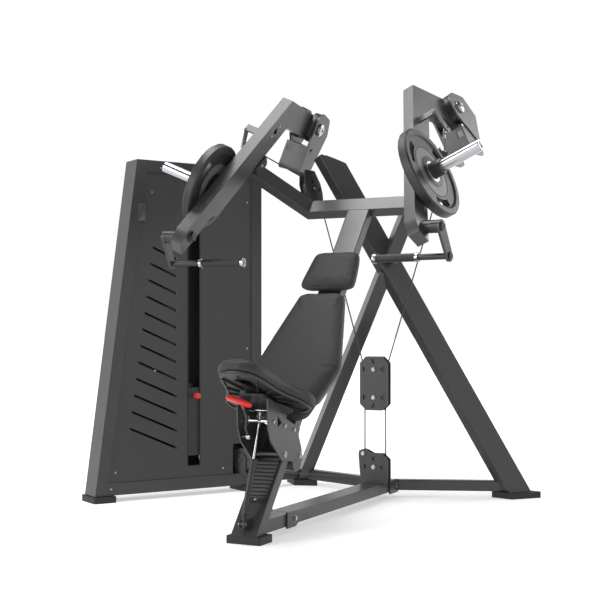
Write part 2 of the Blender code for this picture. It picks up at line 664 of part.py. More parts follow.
def build_handle(side_name, side, swing):
    axis = flip(HANDLE_AXIS, side)
    boss, pipe = flip(BOSS, side), flip(PIPE_OUT, side)
    down = (pipe - boss) - axis * (pipe - boss).dot(axis)
    length = down.length
    down.normalize()
    across = axis.cross(down)
    outline = []
    for k in range(9):
        angle = math.pi * k / 8
        outline.append((0.0265 * math.cos(angle), -0.0265 * math.sin(angle)))
    for k in range(9):
        angle = math.pi * k / 8
        outline.append((-0.0225 * math.cos(angle), length + 0.0225 * math.sin(angle)))
    shape = extrude(outline, boss, across, down, -0.0635, -0.0525)
    link = add("handle_link_" + side_name, shape, "frame_paint", swing)
    cut(link, cutter_cylinder("link_hole_" + side_name, boss, axis, 0.0124, 0.3, swing))
    foot = boss + down * length
    pipe = [(0, 0.0665), (0.0125, 0.0665), (0.0125, -0.268), (0, -0.268)]
    weld(link, turned("handle_pipe_" + side_name, pipe, foot, axis, swing, "rubber", 16))
    grip = [(0.0129, -0.072), (0.019, -0.072), (0.019, -0.084), (0.0162, -0.085), (0.0165, -0.090),
            (0.0165, -0.244), (0.0175, -0.246), (0.0175, -0.262), (0.0205, -0.266), (0.0205, -0.275),
            (0.018, -0.278), (0, -0.278), (0, -0.2685), (0.0129, -0.2685)]
    turned("handle_grip_" + side_name, grip, foot, axis, swing, "rubber", 16)


def build_weight_plate(side_name, side, slide):
    out_axis, fore_axis, up_axis = arm_axes(side)
    spot = arm_point(side, HORN_SPOT.x, HORN_SPOT.y)
    low, high = 0.0372, 0.0372 + PLATE_THICK
    dish = 0.007
    profile = [(HORN_RADIUS + 0.0008, low + 0.003), (0.060, low + 0.003), (0.066, low + dish),
               (PLATE_RADIUS - 0.034, low + dish), (PLATE_RADIUS - 0.026, low), (PLATE_RADIUS - 0.005, low),
               (PLATE_RADIUS, low + 0.006), (PLATE_RADIUS, high - 0.006), (PLATE_RADIUS - 0.005, high),
               (PLATE_RADIUS - 0.026, high), (PLATE_RADIUS - 0.034, high - dish), (0.066, high - dish),
               (0.060, high - 0.003), (HORN_RADIUS + 0.0008, high - 0.003)]
    plate = turned("weight_plate_" + side_name, profile, spot, out_axis, slide, "plate_rubber", 30)
    middle = PLATE_RADIUS - 0.052
    for index in range(3):
        start = math.tau * index / 3 + math.radians(36)
        arc = [start + math.radians(44) * (k / 4 - 0.5) for k in range(5)]
        outer = [((middle + 0.015) * math.cos(a), (middle + 0.015) * math.sin(a)) for a in arc]
        inner = [((middle - 0.015) * math.cos(a), (middle - 0.015) * math.sin(a)) for a in reversed(arc)]
        slot = extrude(outer + inner, spot, fore_axis, up_axis, -0.2, 0.2)
        cut(plate, add("grip_slot_%s_%d" % (side_name, index), slot, "rubber", slide))
    collar = [(HORN_RADIUS + 0.0008, high - 0.005), (0.034, high - 0.005), (0.034, high + 0.040),
              (0.031, high + 0.045), (HORN_RADIUS + 0.0008, high + 0.045)]
    weld(plate, turned("plate_collar_" + side_name, collar, spot, out_axis, slide, "rubber", 20))


# ---- pulleys and cables ---------------------------------------------------------------------
GUIDE = Vector((0.322, 1.250, 1.455))
GUIDE_RADIUS = 0.042
BLOCK_SPREAD = 0.065
LOW_PULLEY_Z = 0.155
BLOCK_FOOT = BASE_LOW + BASE_TALL + GAP - LOW_PULLEY_Z
CHEEK_LOW, CHEEK_HIGH = 0.0135, 0.0195
FORWARD = Vector((0, -1, 0))


def pulley(name, centre, axis, parent, radius=PULLEY_RADIUS):
    rim = radius + 0.006
    groove = radius - 0.0015
    profile = [(0.0055, -0.011), (rim, -0.011), (groove, -0.0035), (groove, 0.0035), (rim, 0.011),
               (0.0055, 0.011)]
    return turned(name, profile, centre, axis, parent, "black_plastic", 20)


def pulley_bolt(name, centre, axis, parent):
    """Axle with a head at each end, reaching just through both side plates."""
    end = CHEEK_HIGH + 0.006
    profile = [(0, -end), (0.0105, -end), (0.0105, -CHEEK_HIGH + 0.001), (0.005, -CHEEK_HIGH + 0.001),
               (0.005, CHEEK_HIGH - 0.001), (0.0105, CHEEK_HIGH - 0.001), (0.0105, end), (0, end)]
    return turned(name, profile, centre, axis, parent, "rubber", 12)


def triangle_hole(centre, direction, size):
    angle = math.atan2(direction[1], direction[0])
    return [(centre[0] + size * math.cos(angle + turn), centre[1] + size * math.sin(angle + turn))
            for turn in (0, math.tau / 3, 2 * math.tau / 3)]


def pulley_block(name, outline, origin, u_axis, v_axis, bolts, windows, parent):
    """Two side plates with triangular windows, joined by the pulley axles."""
    axis = u_axis.cross(v_axis)
    block = add(name, extrude(outline, origin, u_axis, v_axis, CHEEK_LOW, CHEEK_HIGH), "frame_paint",
                parent)
    rear = extrude(outline, origin, u_axis, v_axis, -CHEEK_HIGH, -CHEEK_LOW)
    weld(block, add(name + "_rear", rear, "rubber", parent))
    for index, (x, y) in enumerate(bolts):
        spot = origin + u_axis * x + v_axis * y
        weld(block, pulley_bolt("%s_bolt_%d" % (name, index), spot, axis, parent))
    for index, (centre, direction, size) in enumerate(windows):
        window = extrude(triangle_hole(centre, direction, size), origin, u_axis, v_axis, -0.1, 0.1)
        cut(block, add("%s_window_%d" % (name, index), window, "rubber", parent))
    return block


def build_floating_block(block, upper, lower):
    centre = Vector((0, BLOCK_Y, BLOCK_Z))
    wide, tall, chamfer = 0.070, 0.125, 0.030
    outline = [(-wide, -tall + chamfer), (-wide + chamfer, -tall), (wide - chamfer, -tall),
               (wide, -tall + chamfer), (wide, tall - chamfer), (wide - chamfer, tall),
               (-wide + chamfer, tall), (-wide, tall - chamfer)]
    spread = BLOCK_SPREAD
    windows = [((0, spread + 0.040), (0, -1), 0.016), ((0, -spread - 0.040), (0, 1), 0.016)]
    for height in (spread, -spread):
        windows += [((-0.046, height), (1, 0), 0.016), ((0.046, height), (-1, 0), 0.016)]
    pulley_block("floating_block", outline, centre, RIGHT, UP, [(0, spread), (0, -spread)], windows, block)
    pulley("floating_pulley_upper", centre + UP * spread, FORWARD, upper)
    pulley("floating_pulley_lower", centre - UP * spread, FORWARD, lower)


def build_low_block(frame, spin):
    centre = Vector((0, BLOCK_Y, LOW_PULLEY_Z))
    outline = [(-0.066, BLOCK_FOOT), (0.070, BLOCK_FOOT), (0.070, 0.036), (0.040, 0.063), (-0.010, 0.063),
               (-0.040, 0.078), (-0.056, 0.082), (-0.074, 0.074), (-0.077, 0.058)]
    windows = [((0, 0.040), (0, -1), 0.013), ((-0.042, 0.002), (1, 0), 0.013), ((0.040, 0), (-1, 0), 0.013)]
    pulley_block("base_pulley_block", outline, centre, RIGHT, UP, [(0, 0), (-CABLE_X, 0.062)], windows,
                 frame)
    pulley("base_pulley", centre, FORWARD, spin)


def block_pulley(height):
    return Vector((0, BLOCK_Y, BLOCK_Z + height))


def guide_axes(side):
    """Axle, across and up directions of a guide pulley, set so that both cable runs lie in its plane."""
    centre = guide_point(side)
    to_arm = pull_point(side) - centre
    to_block = block_pulley(BLOCK_SPREAD) + RIGHT * side * CABLE_X - centre
    axis = to_arm.cross(to_block).normalized()
    up = (UP - axis * UP.dot(axis)).normalized()
    return axis, up.cross(axis).normalized(), up


def build_guide_pulley(side_name, side, frame, spin):
    centre = guide_point(side)
    axis, across, up = guide_axes(side)
    pulley("guide_pulley_" + side_name, centre, axis, spin, GUIDE_RADIUS)
    outline = [(-0.045, -0.066), (0.045, -0.066), (0.056, -0.02), (0.056, 0.030), (0.034, 0.095),
               (-0.034, 0.095), (-0.056, 0.030), (-0.056, -0.02)]
    windows = [((0, 0.036), (0, -1), 0.011), ((0.037, 0.002), (-1, 0), 0.011)]
    block = pulley_block("guide_bracket_" + side_name, outline, centre, across, up, [(0, 0)], windows,
                         frame)
    tool = leaning_tube("guide_cutter_" + side_name, side, 1.2, 2.1, frame, GAP)
    cut(block, tool)


def touch(centre, radius, outside, axis, hint):
    """The tangent point, seen from outside, that lies on the hinted side of a pulley."""
    options = [tangent_point(centre, radius, outside, axis, sign) for sign in (1, -1)]
    return max(options, key=lambda spot: (spot - centre).dot(hint))


def wrap(centre, start, end, axis, steps):
    """Shorter way round a pulley from one tangent point to another."""
    first, second = start - centre, end - centre
    turn = axis if first.cross(second).dot(axis) > 0 else -axis
    return arc_points(centre, start, end, turn, steps)


def press_route():
    """Both press arms share one cable that hangs in a loop under the floating block's top pulley."""
    loop = block_pulley(BLOCK_SPREAD)
    halves = []
    for _, side in SIDES:
        centre = guide_point(side)
        axis, _, _ = guide_axes(side)
        radius = GUIDE_RADIUS + CABLE / 2 - 0.001
        start = pull_point(side)
        start += (centre - start).normalized() * 0.0412
        on_guide = touch(centre, radius, start, axis, UP + Vector((side * 0.2, 0, 0)))
        target = loop + RIGHT * side * CABLE_X
        off_guide = touch(centre, radius, target, axis, Vector((side, 1, 0)))
        on_block = touch(loop, CABLE_X, off_guide, FORWARD, RIGHT * side)
        run = [start, on_guide.lerp(start, 0.5)]
        run += wrap(centre, on_guide, off_guide, axis, 6)
        run += [off_guide.lerp(on_block, k / 4) for k in (1, 2, 3)]
        halves.append((run, on_block))
    (left_run, left_on), (right_run, right_on) = halves
    under = arc_points(loop, left_on, right_on, Vector((0, 1, 0)), 12)
    return left_run + under + list(reversed(right_run))


TOWER_T = 0.7872
TOWER_ROOF_PULLEY = 1.460
ROD_TOP = 1.398
TOWER_PULLEY = Vector((-0.7076, 1.268, 0.155))


def stack_route():
    """From the fixed anchor over the floating block, under the base pulley and up to the stack."""
    upper, lower = block_pulley(-BLOCK_SPREAD), Vector((0, BLOCK_Y, LOW_PULLEY_Z))
    anchor = lower + Vector((-CABLE_X, 0, 0.062 + 0.0058))
    left, right = Vector((-CABLE_X, 0, 0)), Vector((CABLE_X, 0, 0))
    route = [anchor, anchor.lerp(upper + left, 0.5)]
    route += arc_points(upper, upper + left, upper + right, Vector((0, 1, 0)), 12)
    route += [(upper + right).lerp(lower + right, k / 3) for k in (1, 2)]
    bottom = lower - UP * CABLE_X
    route += arc_points(lower, lower + right, bottom, Vector((0, 1, 0)), 6)
    tower = TOWER_PULLEY
    low, rise = tower - UP * CABLE_X, tower + left
    route += [bottom.lerp(low, k / 4) for k in (1, 2, 3)]
    route += arc_points(tower, low, rise, Vector((0, 1, 0)), 6)
    depth = (rise - TOWER_CORNER).dot(TOWER_BACK)
    first = tower_point(TOWER_T - CABLE_X, depth, TOWER_ROOF_PULLEY)
    second = tower_point(STACK_T + CABLE_X, depth, TOWER_ROOF_PULLEY)
    reach, up = TOWER_ALONG * CABLE_X, UP * CABLE_X
    route += [rise.lerp(first + reach, k / 4) for k in (1, 2, 3)]
    route += wrap(first, first + reach, first + up, TOWER_BACK, 6)
    route += wrap(second, second + up, second - reach, TOWER_BACK, 6)
    end = tower_point(STACK_T, depth, STACK_TOP + 0.0206)
    route += [(second - reach).lerp(end, k / 4) for k in (1, 2, 3)]
    route.append(end)
    return route


# ---- seat and backrest ------------------------------------------------------------------------
SEAT_TIP = Vector((0, -0.088, 0.644))
SEAT_BACK = Vector((0, 0.898, -0.440)).normalized()
SEAT_UP = Vector((0, 0.440, 0.898)).normalized()
SEAT_SIDE = [(0.000, 0.030), (0.012, 0.060), (0.036, 0.084), (0.080, 0.102), (0.140, 0.114),
             (0.200, 0.132), (0.255, 0.162), (0.300, 0.184), (0.335, 0.190), (0.364, 0.182),
             (0.386, 0.156), (0.395, 0.115)]
BACK_SIDE = [(0.492, 0.075), (0.500, 0.100), (0.522, 0.124), (0.600, 0.147), (0.735, 0.188),
             (0.767, 0.191), (0.800, 0.186), (0.960, 0.149), (1.110, 0.114), (1.135, 0.100),
             (1.146, 0.070)]
HEAD_SIDE = [(1.172, 0.080), (1.180, 0.110), (1.200, 0.126), (1.290, 0.119), (1.360, 0.108),
             (1.378, 0.094), (1.385, 0.070)]
GAS_LOW, GAS_HIGH = Vector((0, 0.001, 0.076)), Vector((0, 0.1465, 0.4865))
LEVER_SPOT = Vector((-0.030, 0.102, 0.389))
CARRIAGE_SIDE = [(0.070, 0.545), (0.076, 0.425), (0.100, 0.370), (0.187, 0.294), (0.366, 0.272),
                 (0.352, 0.332), (0.327, 0.385), (0.345, 0.405), (0.215, 0.455), (0.233, 0.4635)]


def pad_ring(side, level, squeeze, place):
    """Ring of points round a cushion at one level, drawn in by a fixed distance."""
    middle = (side[0][0] + side[-1][0]) / 2
    half_long = (side[-1][0] - side[0][0]) / 2
    scale = 1 - squeeze / half_long
    right = [(middle + (a - middle) * scale, b - squeeze * min(1, b / 0.05)) for a, b in side]
    return [place(a, b, level) for a, b in right] + [place(a, -b, level) for a, b in reversed(right)]


def seat_place(along, across, level):
    return SEAT_TIP + SEAT_BACK * along + SEAT_UP * level + RIGHT * across


def back_place(along, across, level):
    return spine_point(along, level, across)


def cushion(name, side, levels, place, parent, slot="upholstery"):
    rings = [pad_ring(side, level, squeeze, place) for level, squeeze in levels]
    return loft(name, rings, parent, slot)


def build_seat(carriage, lever, gas_body, gas_rod, frame):
    pad = [(0.006, 0.008), (0.014, 0.002), (0.024, 0), (0.044, 0), (0.056, 0.006), (0.062, 0.018),
           (0.064, 0.040)]
    cushion("seat_cushion", SEAT_SIDE, pad, seat_place, carriage)
    cushion("seat_shell", SEAT_SIDE, [(-0.012, 0.030), (-0.002, 0.014), (0.0055, 0.012)], seat_place,
            carriage, "black_plastic")

    shape = extrude(rounded(CARRIAGE_SIDE, 0.012, 3), Vector((0, 0, 0)), Vector((0, 1, 0)), UP, -0.068, 0.068)
    body = add("seat_carriage", shape, "frame_paint", carriage)
    room = extrude([(0, 0), (0.6, 0), (0.6, 0.8), (0, 0.8)], Vector((0, 0, 0)), Vector((0, 1, 0)), UP,
                   -0.062, 0.062)
    cut(body, add("carriage_room", room, "rubber", carriage))
    window = [(0.150, 0.470), (0.185, 0.440), (0.150, 0.425)]
    shape = extrude(window, Vector((0, 0, 0)), Vector((0, 1, 0)), UP, -0.2, 0.2)
    cut(body, add("carriage_window", shape, "rubber", carriage))
    plate = [(0.176, 0.050), (0.176, -0.050), (0.26, -0.068), (0.300, -0.105), (0.335, -0.105),
             (0.358, -0.075), (0.358, 0.075), (0.335, 0.105), (0.300, 0.105), (0.26, 0.068)]
    shape = extrude(plate, SEAT_TIP, SEAT_BACK, RIGHT, 0.0125, 0.0215)
    weld(body, add("carriage_top", shape, "rubber", carriage))
    rods = (((0.118, 0.449), 0.006), ((0.1465, 0.4865), 0.004))
    for index, ((y, z), radius) in enumerate(rods):
        weld(body, cutter_cylinder("carriage_rod_%d" % index, Vector((0, y, z)), RIGHT, radius, 0.128,
                                   carriage, 16))
    for index, (along, out, radius) in enumerate(((0.4655, 0.0155, 0.009), (0.3472, 0.0186, 0.009),
                                                  (0.388, -0.0938, 0.038))):
        weld(body, cutter_cylinder("carriage_roller_%d" % index, spine_point(along, out), RIGHT, radius,
                                   0.126, carriage, 20))
    lever_pin = LEVER_SPOT - RIGHT * 0.011
    weld(body, cutter_cylinder("lever_pin", lever_pin, RIGHT, 0.004, 0.046, carriage, 12))

    # release lever: eye on its pin, bent stem and a moulded grip
    spot = LEVER_SPOT
    ring = [(0.0046, -0.007), (0.010, -0.007), (0.010, 0.007), (0.0046, 0.007)]
    stem = turned("release_lever", ring, spot, RIGHT, lever, "zinc_steel", 20)
    points = [spot + Vector((0, -0.006, 0.006)), Vector((-0.030, 0.078, 0.425)),
              Vector((-0.016, 0.062, 0.460)), Vector((-0.028, 0.064, 0.492)), Vector((-0.034, 0.048, 0.523))]
    for index, (low, high) in enumerate(zip(points, points[1:])):
        reach = (high - low).normalized() * 0.002
        weld(stem, solid_bar("lever_stem_%d" % index, low - reach, high + reach, RIGHT, 0.010, 0.010, lever,
                             "rubber", 0.003))
    grip_low, grip_high = Vector((0.002, 0.058, 0.510)), Vector((-0.076, 0.018, 0.541))
    along, wide_axis, deep_axis = plane_axes(grip_high - grip_low, Vector((0, -1, 0.3)))
    rings = []
    for k, (wide, deep) in enumerate(((0.014, 0.008), (0.026, 0.014), (0.032, 0.017), (0.036, 0.018),
                                      (0.034, 0.016), (0.020, 0.010))):
        centre = grip_low.lerp(grip_high, k / 5)
        rings.append([centre + wide_axis * p[0] + deep_axis * p[1]
                      for p in round_rect(wide, deep, min(wide, deep) * 0.4, 2)])
    weld(stem, loft("lever_grip", rings, lever, "red_plastic"))

    # gas spring: lower ears on the spine, cylinder and rod
    low, high = GAS_LOW, GAS_HIGH
    axis = (high - low).normalized()
    eye = [(0.0045, -0.007), (0.010, -0.007), (0.010, 0.007), (0.0045, 0.007)]
    body = turned("gas_cylinder", eye, low, RIGHT, gas_body, "black_plastic", 16)
    barrel = [(0, 0.008), (0.0065, 0.008), (0.0065, 0.030), (0.0105, 0.034), (0.0105, 0.240), (0.009, 0.245),
              (0.0055, 0.245), (0.0055, 0.050), (0, 0.050)]
    weld(body, turned("gas_barrel", barrel, low, axis, gas_body, "rubber", 20))
    rod = [(0, 0.170), (0.0048, 0.170), (0.0048, 0.412), (0.009, 0.413), (0.009, 0.424), (0, 0.424)]
    turned("gas_rod", rod, low, axis, gas_rod, "chrome", 16)
    shape = extrude([(-0.012, 0.062), (0.016, 0.062), (0.075, 0.062), (0.075, 0.092), (0.006, 0.092),
                     (-0.010, 0.086)], Vector((0, 0, 0)), Vector((0, 1, 0)), UP, -0.012, 0.012)
    ears = add("gas_ears", shape, "rubber", frame)
    gap = extrude([(-0.05, 0.0), (0.018, 0.0), (0.018, 0.2), (-0.05, 0.2)], Vector((0, 0, 0)),
                  Vector((0, 1, 0)), UP, -0.0078, 0.0078)
    cut(ears, add("gas_ear_gap", gap, "rubber", frame))
    weld(ears, cutter_cylinder("gas_pin", low, RIGHT, 0.004, 0.026, frame, 12))
    inside = extrude([(0.2, -0.2), (0.2, 0.4), (0.002, 0.4), (0.002, -0.2)], SPINE_FOOT, -SPINE_OUT,
                     SPINE_UP, -0.3, 0.3)
    cut(ears, add("gas_ear_face", inside, "rubber", frame))
    weld(bpy.data.objects["spine_tube"], ears)


def build_backrest(frame):
    pad = [(0.0145, 0.010), (0.022, 0.003), (0.032, 0), (0.046, 0), (0.058, 0.007), (0.064, 0.020),
           (0.066, 0.042)]
    cushion("backrest_cushion", BACK_SIDE, pad, back_place, frame)
    shell_side = [(0.560, 0.110)] + BACK_SIDE[3:]
    shell = cushion("backrest_shell", shell_side, [(-0.036, 0.036), (-0.020, 0.026), (0.0140, 0.012)],
                    back_place, frame, "black_plastic")
    cut(shell, spine_block(frame, "shell_cutter"))
    pad = [(0.004, 0.014), (0.014, 0.004), (0.024, 0), (0.040, 0), (0.052, 0.007), (0.059, 0.020),
           (0.061, 0.040)]
    cushion("headrest", HEAD_SIDE, pad, back_place, frame)

    # ribbed cover strip on the front of the spine
    low, step, count = 0.160, 0.0172, 15
    outline = [(0.140, 0.0004), (0.140, 0.003), (low, 0.003)]
    for k in range(count):
        here = low + step * k
        outline += [(here + 0.003, 0.0054), (here + 0.010, 0.0054), (here + 0.012, 0.003)]
    outline += [(0.425, 0.003), (0.425, 0.0004)]
    shape = extrude(outline, SPINE_FOOT, SPINE_UP, SPINE_OUT, -0.045, 0.045)
    add("spine_cover", shape, "black_plastic", frame)


# ---- weight tower -----------------------------------------------------------------------------
def tower_ring(inset):
    """The tower's outline with its leaning left edge, drawn in by one inset all round."""
    lean = Vector((TOWER_LEFT_HIGH - TOWER_LEFT_LOW, TOWER_HIGH)).normalized()
    shift = inset / lean.y
    low, high = BASE_LOW + inset, TOWER_HIGH - inset
    slope = lean.x / lean.y
    return [(TOWER_LEFT_LOW + slope * low + shift, low), (TOWER_RIGHT - inset, low),
            (TOWER_RIGHT - inset, high), (TOWER_LEFT_LOW + slope * high + shift, high)]


def stack_depth():
    """How far the stack's middle plane lies behind the tower's front face."""
    return (TOWER_PULLEY + Vector((-CABLE_X, 0, 0)) - TOWER_CORNER).dot(TOWER_BACK)


def tower_sheet(name, outline, front, back, parent, slot, hole=None):
    """Sheet or ring in the tower's own plane, between two depths behind its front face."""
    shape = extrude(outline, TOWER_CORNER, TOWER_ALONG, UP, -back, -front, hole)
    return add(name, shape, slot, parent)


def build_tower(frame, rest, lifted, pin_slide, spins):
    ring, opening = tower_ring(0), tower_ring(TOWER_POST)
    body = tower_sheet("tower_frame", ring, 0, TOWER_DEEP, frame, "frame_paint", opening)
    cut(body, tower_sheet("tower_channel", tower_ring(0.004), 0.004, 0.2, frame, "rubber",
                          tower_ring(TOWER_POST - 0.004)))
    depth = stack_depth()
    hanger = [(0.455, 1.372), (0.625, 1.372), (0.775, 1.430), (0.775, 1.531), (0.555, 1.531),
              (0.555, 1.430), (0.455, 1.430)]
    for label, low in (("front", -CHEEK_HIGH), ("back", CHEEK_LOW)):
        weld(body, tower_sheet("roof_hanger_" + label, hanger, depth + low, depth + low + 0.006, frame,
                               "rubber"))
    spots = (("first", TOWER_T - CABLE_X), ("second", STACK_T + CABLE_X))
    for label, t in spots:
        centre = tower_point(t, depth, TOWER_ROOF_PULLEY)
        weld(body, pulley_bolt("roof_bolt_" + label, centre, TOWER_BACK, frame))
        pulley("roof_pulley_" + label, centre, TOWER_BACK, spins[label])
    outline = [(-0.030, -0.073), (0.030, -0.073), (0.030, 0.012), (0.015, 0.030), (-0.015, 0.030),
               (-0.030, 0.012)]
    for label, low in (("front", CHEEK_LOW), ("back", -CHEEK_HIGH)):
        shape = extrude(outline, TOWER_PULLEY, RIGHT, UP, low, low + 0.006)
        weld(body, add("foot_hanger_" + label, shape, "rubber", frame))
    weld(body, pulley_bolt("tower_foot_bolt", TOWER_PULLEY, FORWARD, frame))
    pulley("tower_foot_pulley", TOWER_PULLEY, FORWARD, spins["foot"])

    # front sheet with the plate slot, and the back sheet
    sheet = tower_sheet("tower_front_panel", tower_ring(TOWER_POST + GAP), 0.004, 0.0065, frame,
                        "panel_paint")
    slot = [(0.509, 0.145), (0.571, 0.145), (0.571, 1.25), (0.509, 1.25)]
    cut(sheet, tower_sheet("plate_slot", slot, -0.02, 0.03, frame, "rubber"))
    notch = [(0.755, 0.0), (0.95, 0.0), (0.95, 0.235), (0.755, 0.235)]
    cut(sheet, tower_sheet("cable_notch", notch, -0.02, 0.03, frame, "rubber"))
    for index in range(VENT_COUNT):
        low = VENT_LOW + VENT_STEP * index
        left = VENT_LEFT + VENT_LEAN * index
        rise = (VENT_RIGHT - left) * VENT_SLOPE
        vent = [(left, low + rise), (VENT_RIGHT, low), (VENT_RIGHT, low + VENT_TALL),
                (left, low + rise + VENT_TALL)]
        cut(sheet, tower_sheet("vent_%d" % index, vent, -0.02, 0.03, frame, "rubber"))
    tower_sheet("tower_back_panel", tower_ring(0.002), TOWER_DEEP + GAP, TOWER_DEEP + 0.0024, frame,
                "panel_paint")

    for label, t in (("left", 0.078), ("right", TOWER_RIGHT - 0.052)):
        outline = [(x + t, y + TOWER_DEEP / 2) for x, y in round_rect(0.110, 0.155, 0.01)]
        shape = extrude(outline, TOWER_CORNER, TOWER_ALONG, TOWER_BACK, 0, FOOT_SIZE.z)
        add("tower_foot_pad_" + label, shape, "rubber", frame)

    # tie tube from the tower's foot to the machine's rear foot
    height = BASE_LOW + BASE_TALL / 2
    start = tower_point(TOWER_RIGHT - 0.040, 0.070, height)
    foot, _, along, _, _ = x_axes(1)
    end = foot + along * ((height - foot.z) / along.z)
    tie = box_tube("tower_tie", start, end, UP.cross(end - start), 0.050, BASE_TALL - 0.001, frame)
    cut(tie, leaning_tube("tie_cutter", 1, -0.3, 0.6, frame, GAP))
    weld(body, tie)

    # guide rods with rubber bumpers under the stack
    for label, sign in (("left", -1), ("right", 1)):
        spot = tower_point(STACK_T + sign * ROD_SPREAD, depth, 0)
        low = BASE_LOW + TOWER_POST + GAP
        rod = [(0, low), (0.016, low), (0.016, STACK_LOW - 0.03), (0.020, STACK_LOW - 0.025),
               (0.020, STACK_LOW - GAP), (0.008, STACK_LOW - GAP), (0.008, ROD_TOP), (0, ROD_TOP)]
        turned("guide_rod_" + label, rod, spot, UP, frame, "chrome", 16)

    # weight stack: the plates left behind, and the picked plates with the selector rod
    split = STACK_COUNT - PICKED
    resting = plate_pile("stack_resting", 0, split, rest)
    picked = plate_pile("stack_lifted", split, STACK_COUNT, lifted)
    for pile in (resting, picked):
        for sign in (-1, 1):
            spot = tower_point(STACK_T + sign * ROD_SPREAD, depth, 0.4)
            cut(pile, cutter_cylinder("rod_hole_%s_%d" % (pile.name, sign), spot, UP, 0.0095, 1, frame, 12))
    centre = tower_point(STACK_T, depth, 0.4)
    cut(resting, cutter_cylinder("selector_hole", centre, UP, 0.0125, 1, frame, 12))
    selector = [(0, STACK_LOW + 0.02), (0.010, STACK_LOW + 0.02), (0.010, STACK_TOP - 0.01),
                (0.022, STACK_TOP - 0.01), (0.022, STACK_TOP + 0.012), (0.012, STACK_TOP + 0.020),
                (0, STACK_TOP + 0.020)]
    weld(picked, turned("selector_rod", selector, Vector((centre.x, centre.y, 0)), UP, lifted, "rubber", 12))
    height = STACK_LOW + (split + 0.5) * STACK_PLATE
    spot = tower_point(STACK_T, 0, height)
    cut(picked, cutter_cylinder("pin_hole", spot, TOWER_BACK, 0.0055, 0.092, frame, 16))
    pin = [(0, 0.043), (0.0045, 0.041), (0.0045, -0.012), (0.011, -0.013), (0.014, -0.020), (0.014, -0.044),
           (0.010, -0.050), (0, -0.050)]
    turned("selector_pin", pin, spot, TOWER_BACK, pin_slide, "red_plastic", 16)


def plate_pile(name, low, high, parent):
    """A run of stack plates as one piece, with a shallow groove at every joint."""
    left, right, groove, gap = STACK_T - 0.1, STACK_T + 0.1, 0.004, 0.0009
    right_side, left_side = [], []
    for k in range(low, high):
        bottom, top = STACK_LOW + k * STACK_PLATE + gap, STACK_LOW + (k + 1) * STACK_PLATE - gap
        inner_low = 0 if k == low else groove
        inner_high = 0 if k == high - 1 else groove
        for spots, edge, sign in ((right_side, right, -1), (left_side, left, 1)):
            if inner_low:
                spots.append((edge + sign * groove, bottom))
            spots += [(edge, bottom), (edge, top)]
            if inner_high:
                spots.append((edge + sign * groove, top))
    outline = right_side + list(reversed(left_side))
    return tower_sheet(name, outline, 0.012, 0.108, parent, "stack_iron")


# ---- assembly ---------------------------------------------------------------------------------
def main():
    clear_scene()
    root = empty("machine", Vector((0, 0, 0)))
    build_floor_frame(root)
    build_x_frame(root)
    build_crossbar(root)
    for side_name, side in SIDES:
        build_clevis(side_name, side, root)
        arm = joint_empty("arm_pivot_" + side_name, flip(ARM_HUB, side), root)
        build_arm(side_name, side, arm)
        swing = joint_empty("handle_pivot_" + side_name, flip(BOSS, side), arm)
        build_handle(side_name, side, swing)
        horn = arm_point(side, HORN_SPOT.x, HORN_SPOT.y)
        build_weight_plate(side_name, side, joint_empty("plate_slide_" + side_name, horn, arm))
        spin = joint_empty("guide_spin_" + side_name, guide_point(side), root)
        build_guide_pulley(side_name, side, root, spin)

    block = joint_empty("block_slide", Vector((0, BLOCK_Y, BLOCK_Z)), root)
    upper = joint_empty("block_spin_upper", block_pulley(BLOCK_SPREAD), block)
    lower = joint_empty("block_spin_lower", block_pulley(-BLOCK_SPREAD), block)
    build_floating_block(block, upper, lower)
    build_low_block(root, joint_empty("base_spin", Vector((0, BLOCK_Y, LOW_PULLEY_Z)), root))
    cable("press_cable", press_route(), CABLE, root)
    cable("stack_cable", stack_route(), CABLE, root)

    carriage = joint_empty("seat_slide", SEAT_TIP, root)
    lever = joint_empty("lever_pivot", LEVER_SPOT, carriage)
    gas_body = joint_empty("gas_pivot", GAS_LOW, root)
    gas_rod = joint_empty("gas_rod_slide", GAS_LOW, gas_body)
    build_seat(carriage, lever, gas_body, gas_rod, root)
    build_backrest(root)

    lifted = joint_empty("stack_slide", tower_point(STACK_T, 0.06, STACK_TOP), root)
    pin = joint_empty("pin_slide", tower_point(STACK_T, 0, STACK_TOP - 0.0375), lifted)
    depth = stack_depth()
    spins = {"foot": joint_empty("tower_spin_foot", TOWER_PULLEY, root)}
    for label, t in (("first", TOWER_T - CABLE_X), ("second", STACK_T + CABLE_X)):
        place = tower_point(t, depth, TOWER_ROOF_PULLEY)
        spins[label] = joint_empty("tower_spin_" + label, place, root)
    build_tower(root, root, lifted, pin, spins)
    settle(root)


def settle(root):
    """Move the whole machine so that its origin is the middle of its footprint."""
    bpy.context.view_layer.update()
    graph = bpy.context.evaluated_depsgraph_get()
    low, high = Vector((1e9, 1e9, 1e9)), Vector((-1e9, -1e9, -1e9))
    for item in bpy.data.objects:
        if item.hide_render or item.type not in {'MESH', 'CURVE'}:
            continue
        seen = item.evaluated_get(graph)
        mesh = seen.to_mesh()
        for vertex in mesh.vertices:
            spot = seen.matrix_world @ vertex.co
            for axis in range(3):
                low[axis] = min(low[axis], spot[axis])
                high[axis] = max(high[axis], spot[axis])
        seen.to_mesh_clear()
    root.location = (-(low.x + high.x) / 2, -(low.y + high.y) / 2, -low.z)
    bpy.context.view_layer.update()


main()
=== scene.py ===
"""Looks of a shoulder press machine: materials, sewn cushions, cables, fasteners, light and camera.

Metres.  Places are worked out in the machine's own layout, whose origin is the middle of the front
foot's front edge with the sitter facing -Y, and are then moved by OFFSET, which the frame gives.
"""
import json
import math

import bmesh
import bpy
from mathutils import Matrix, Vector
from mathutils.bvhtree import BVHTree


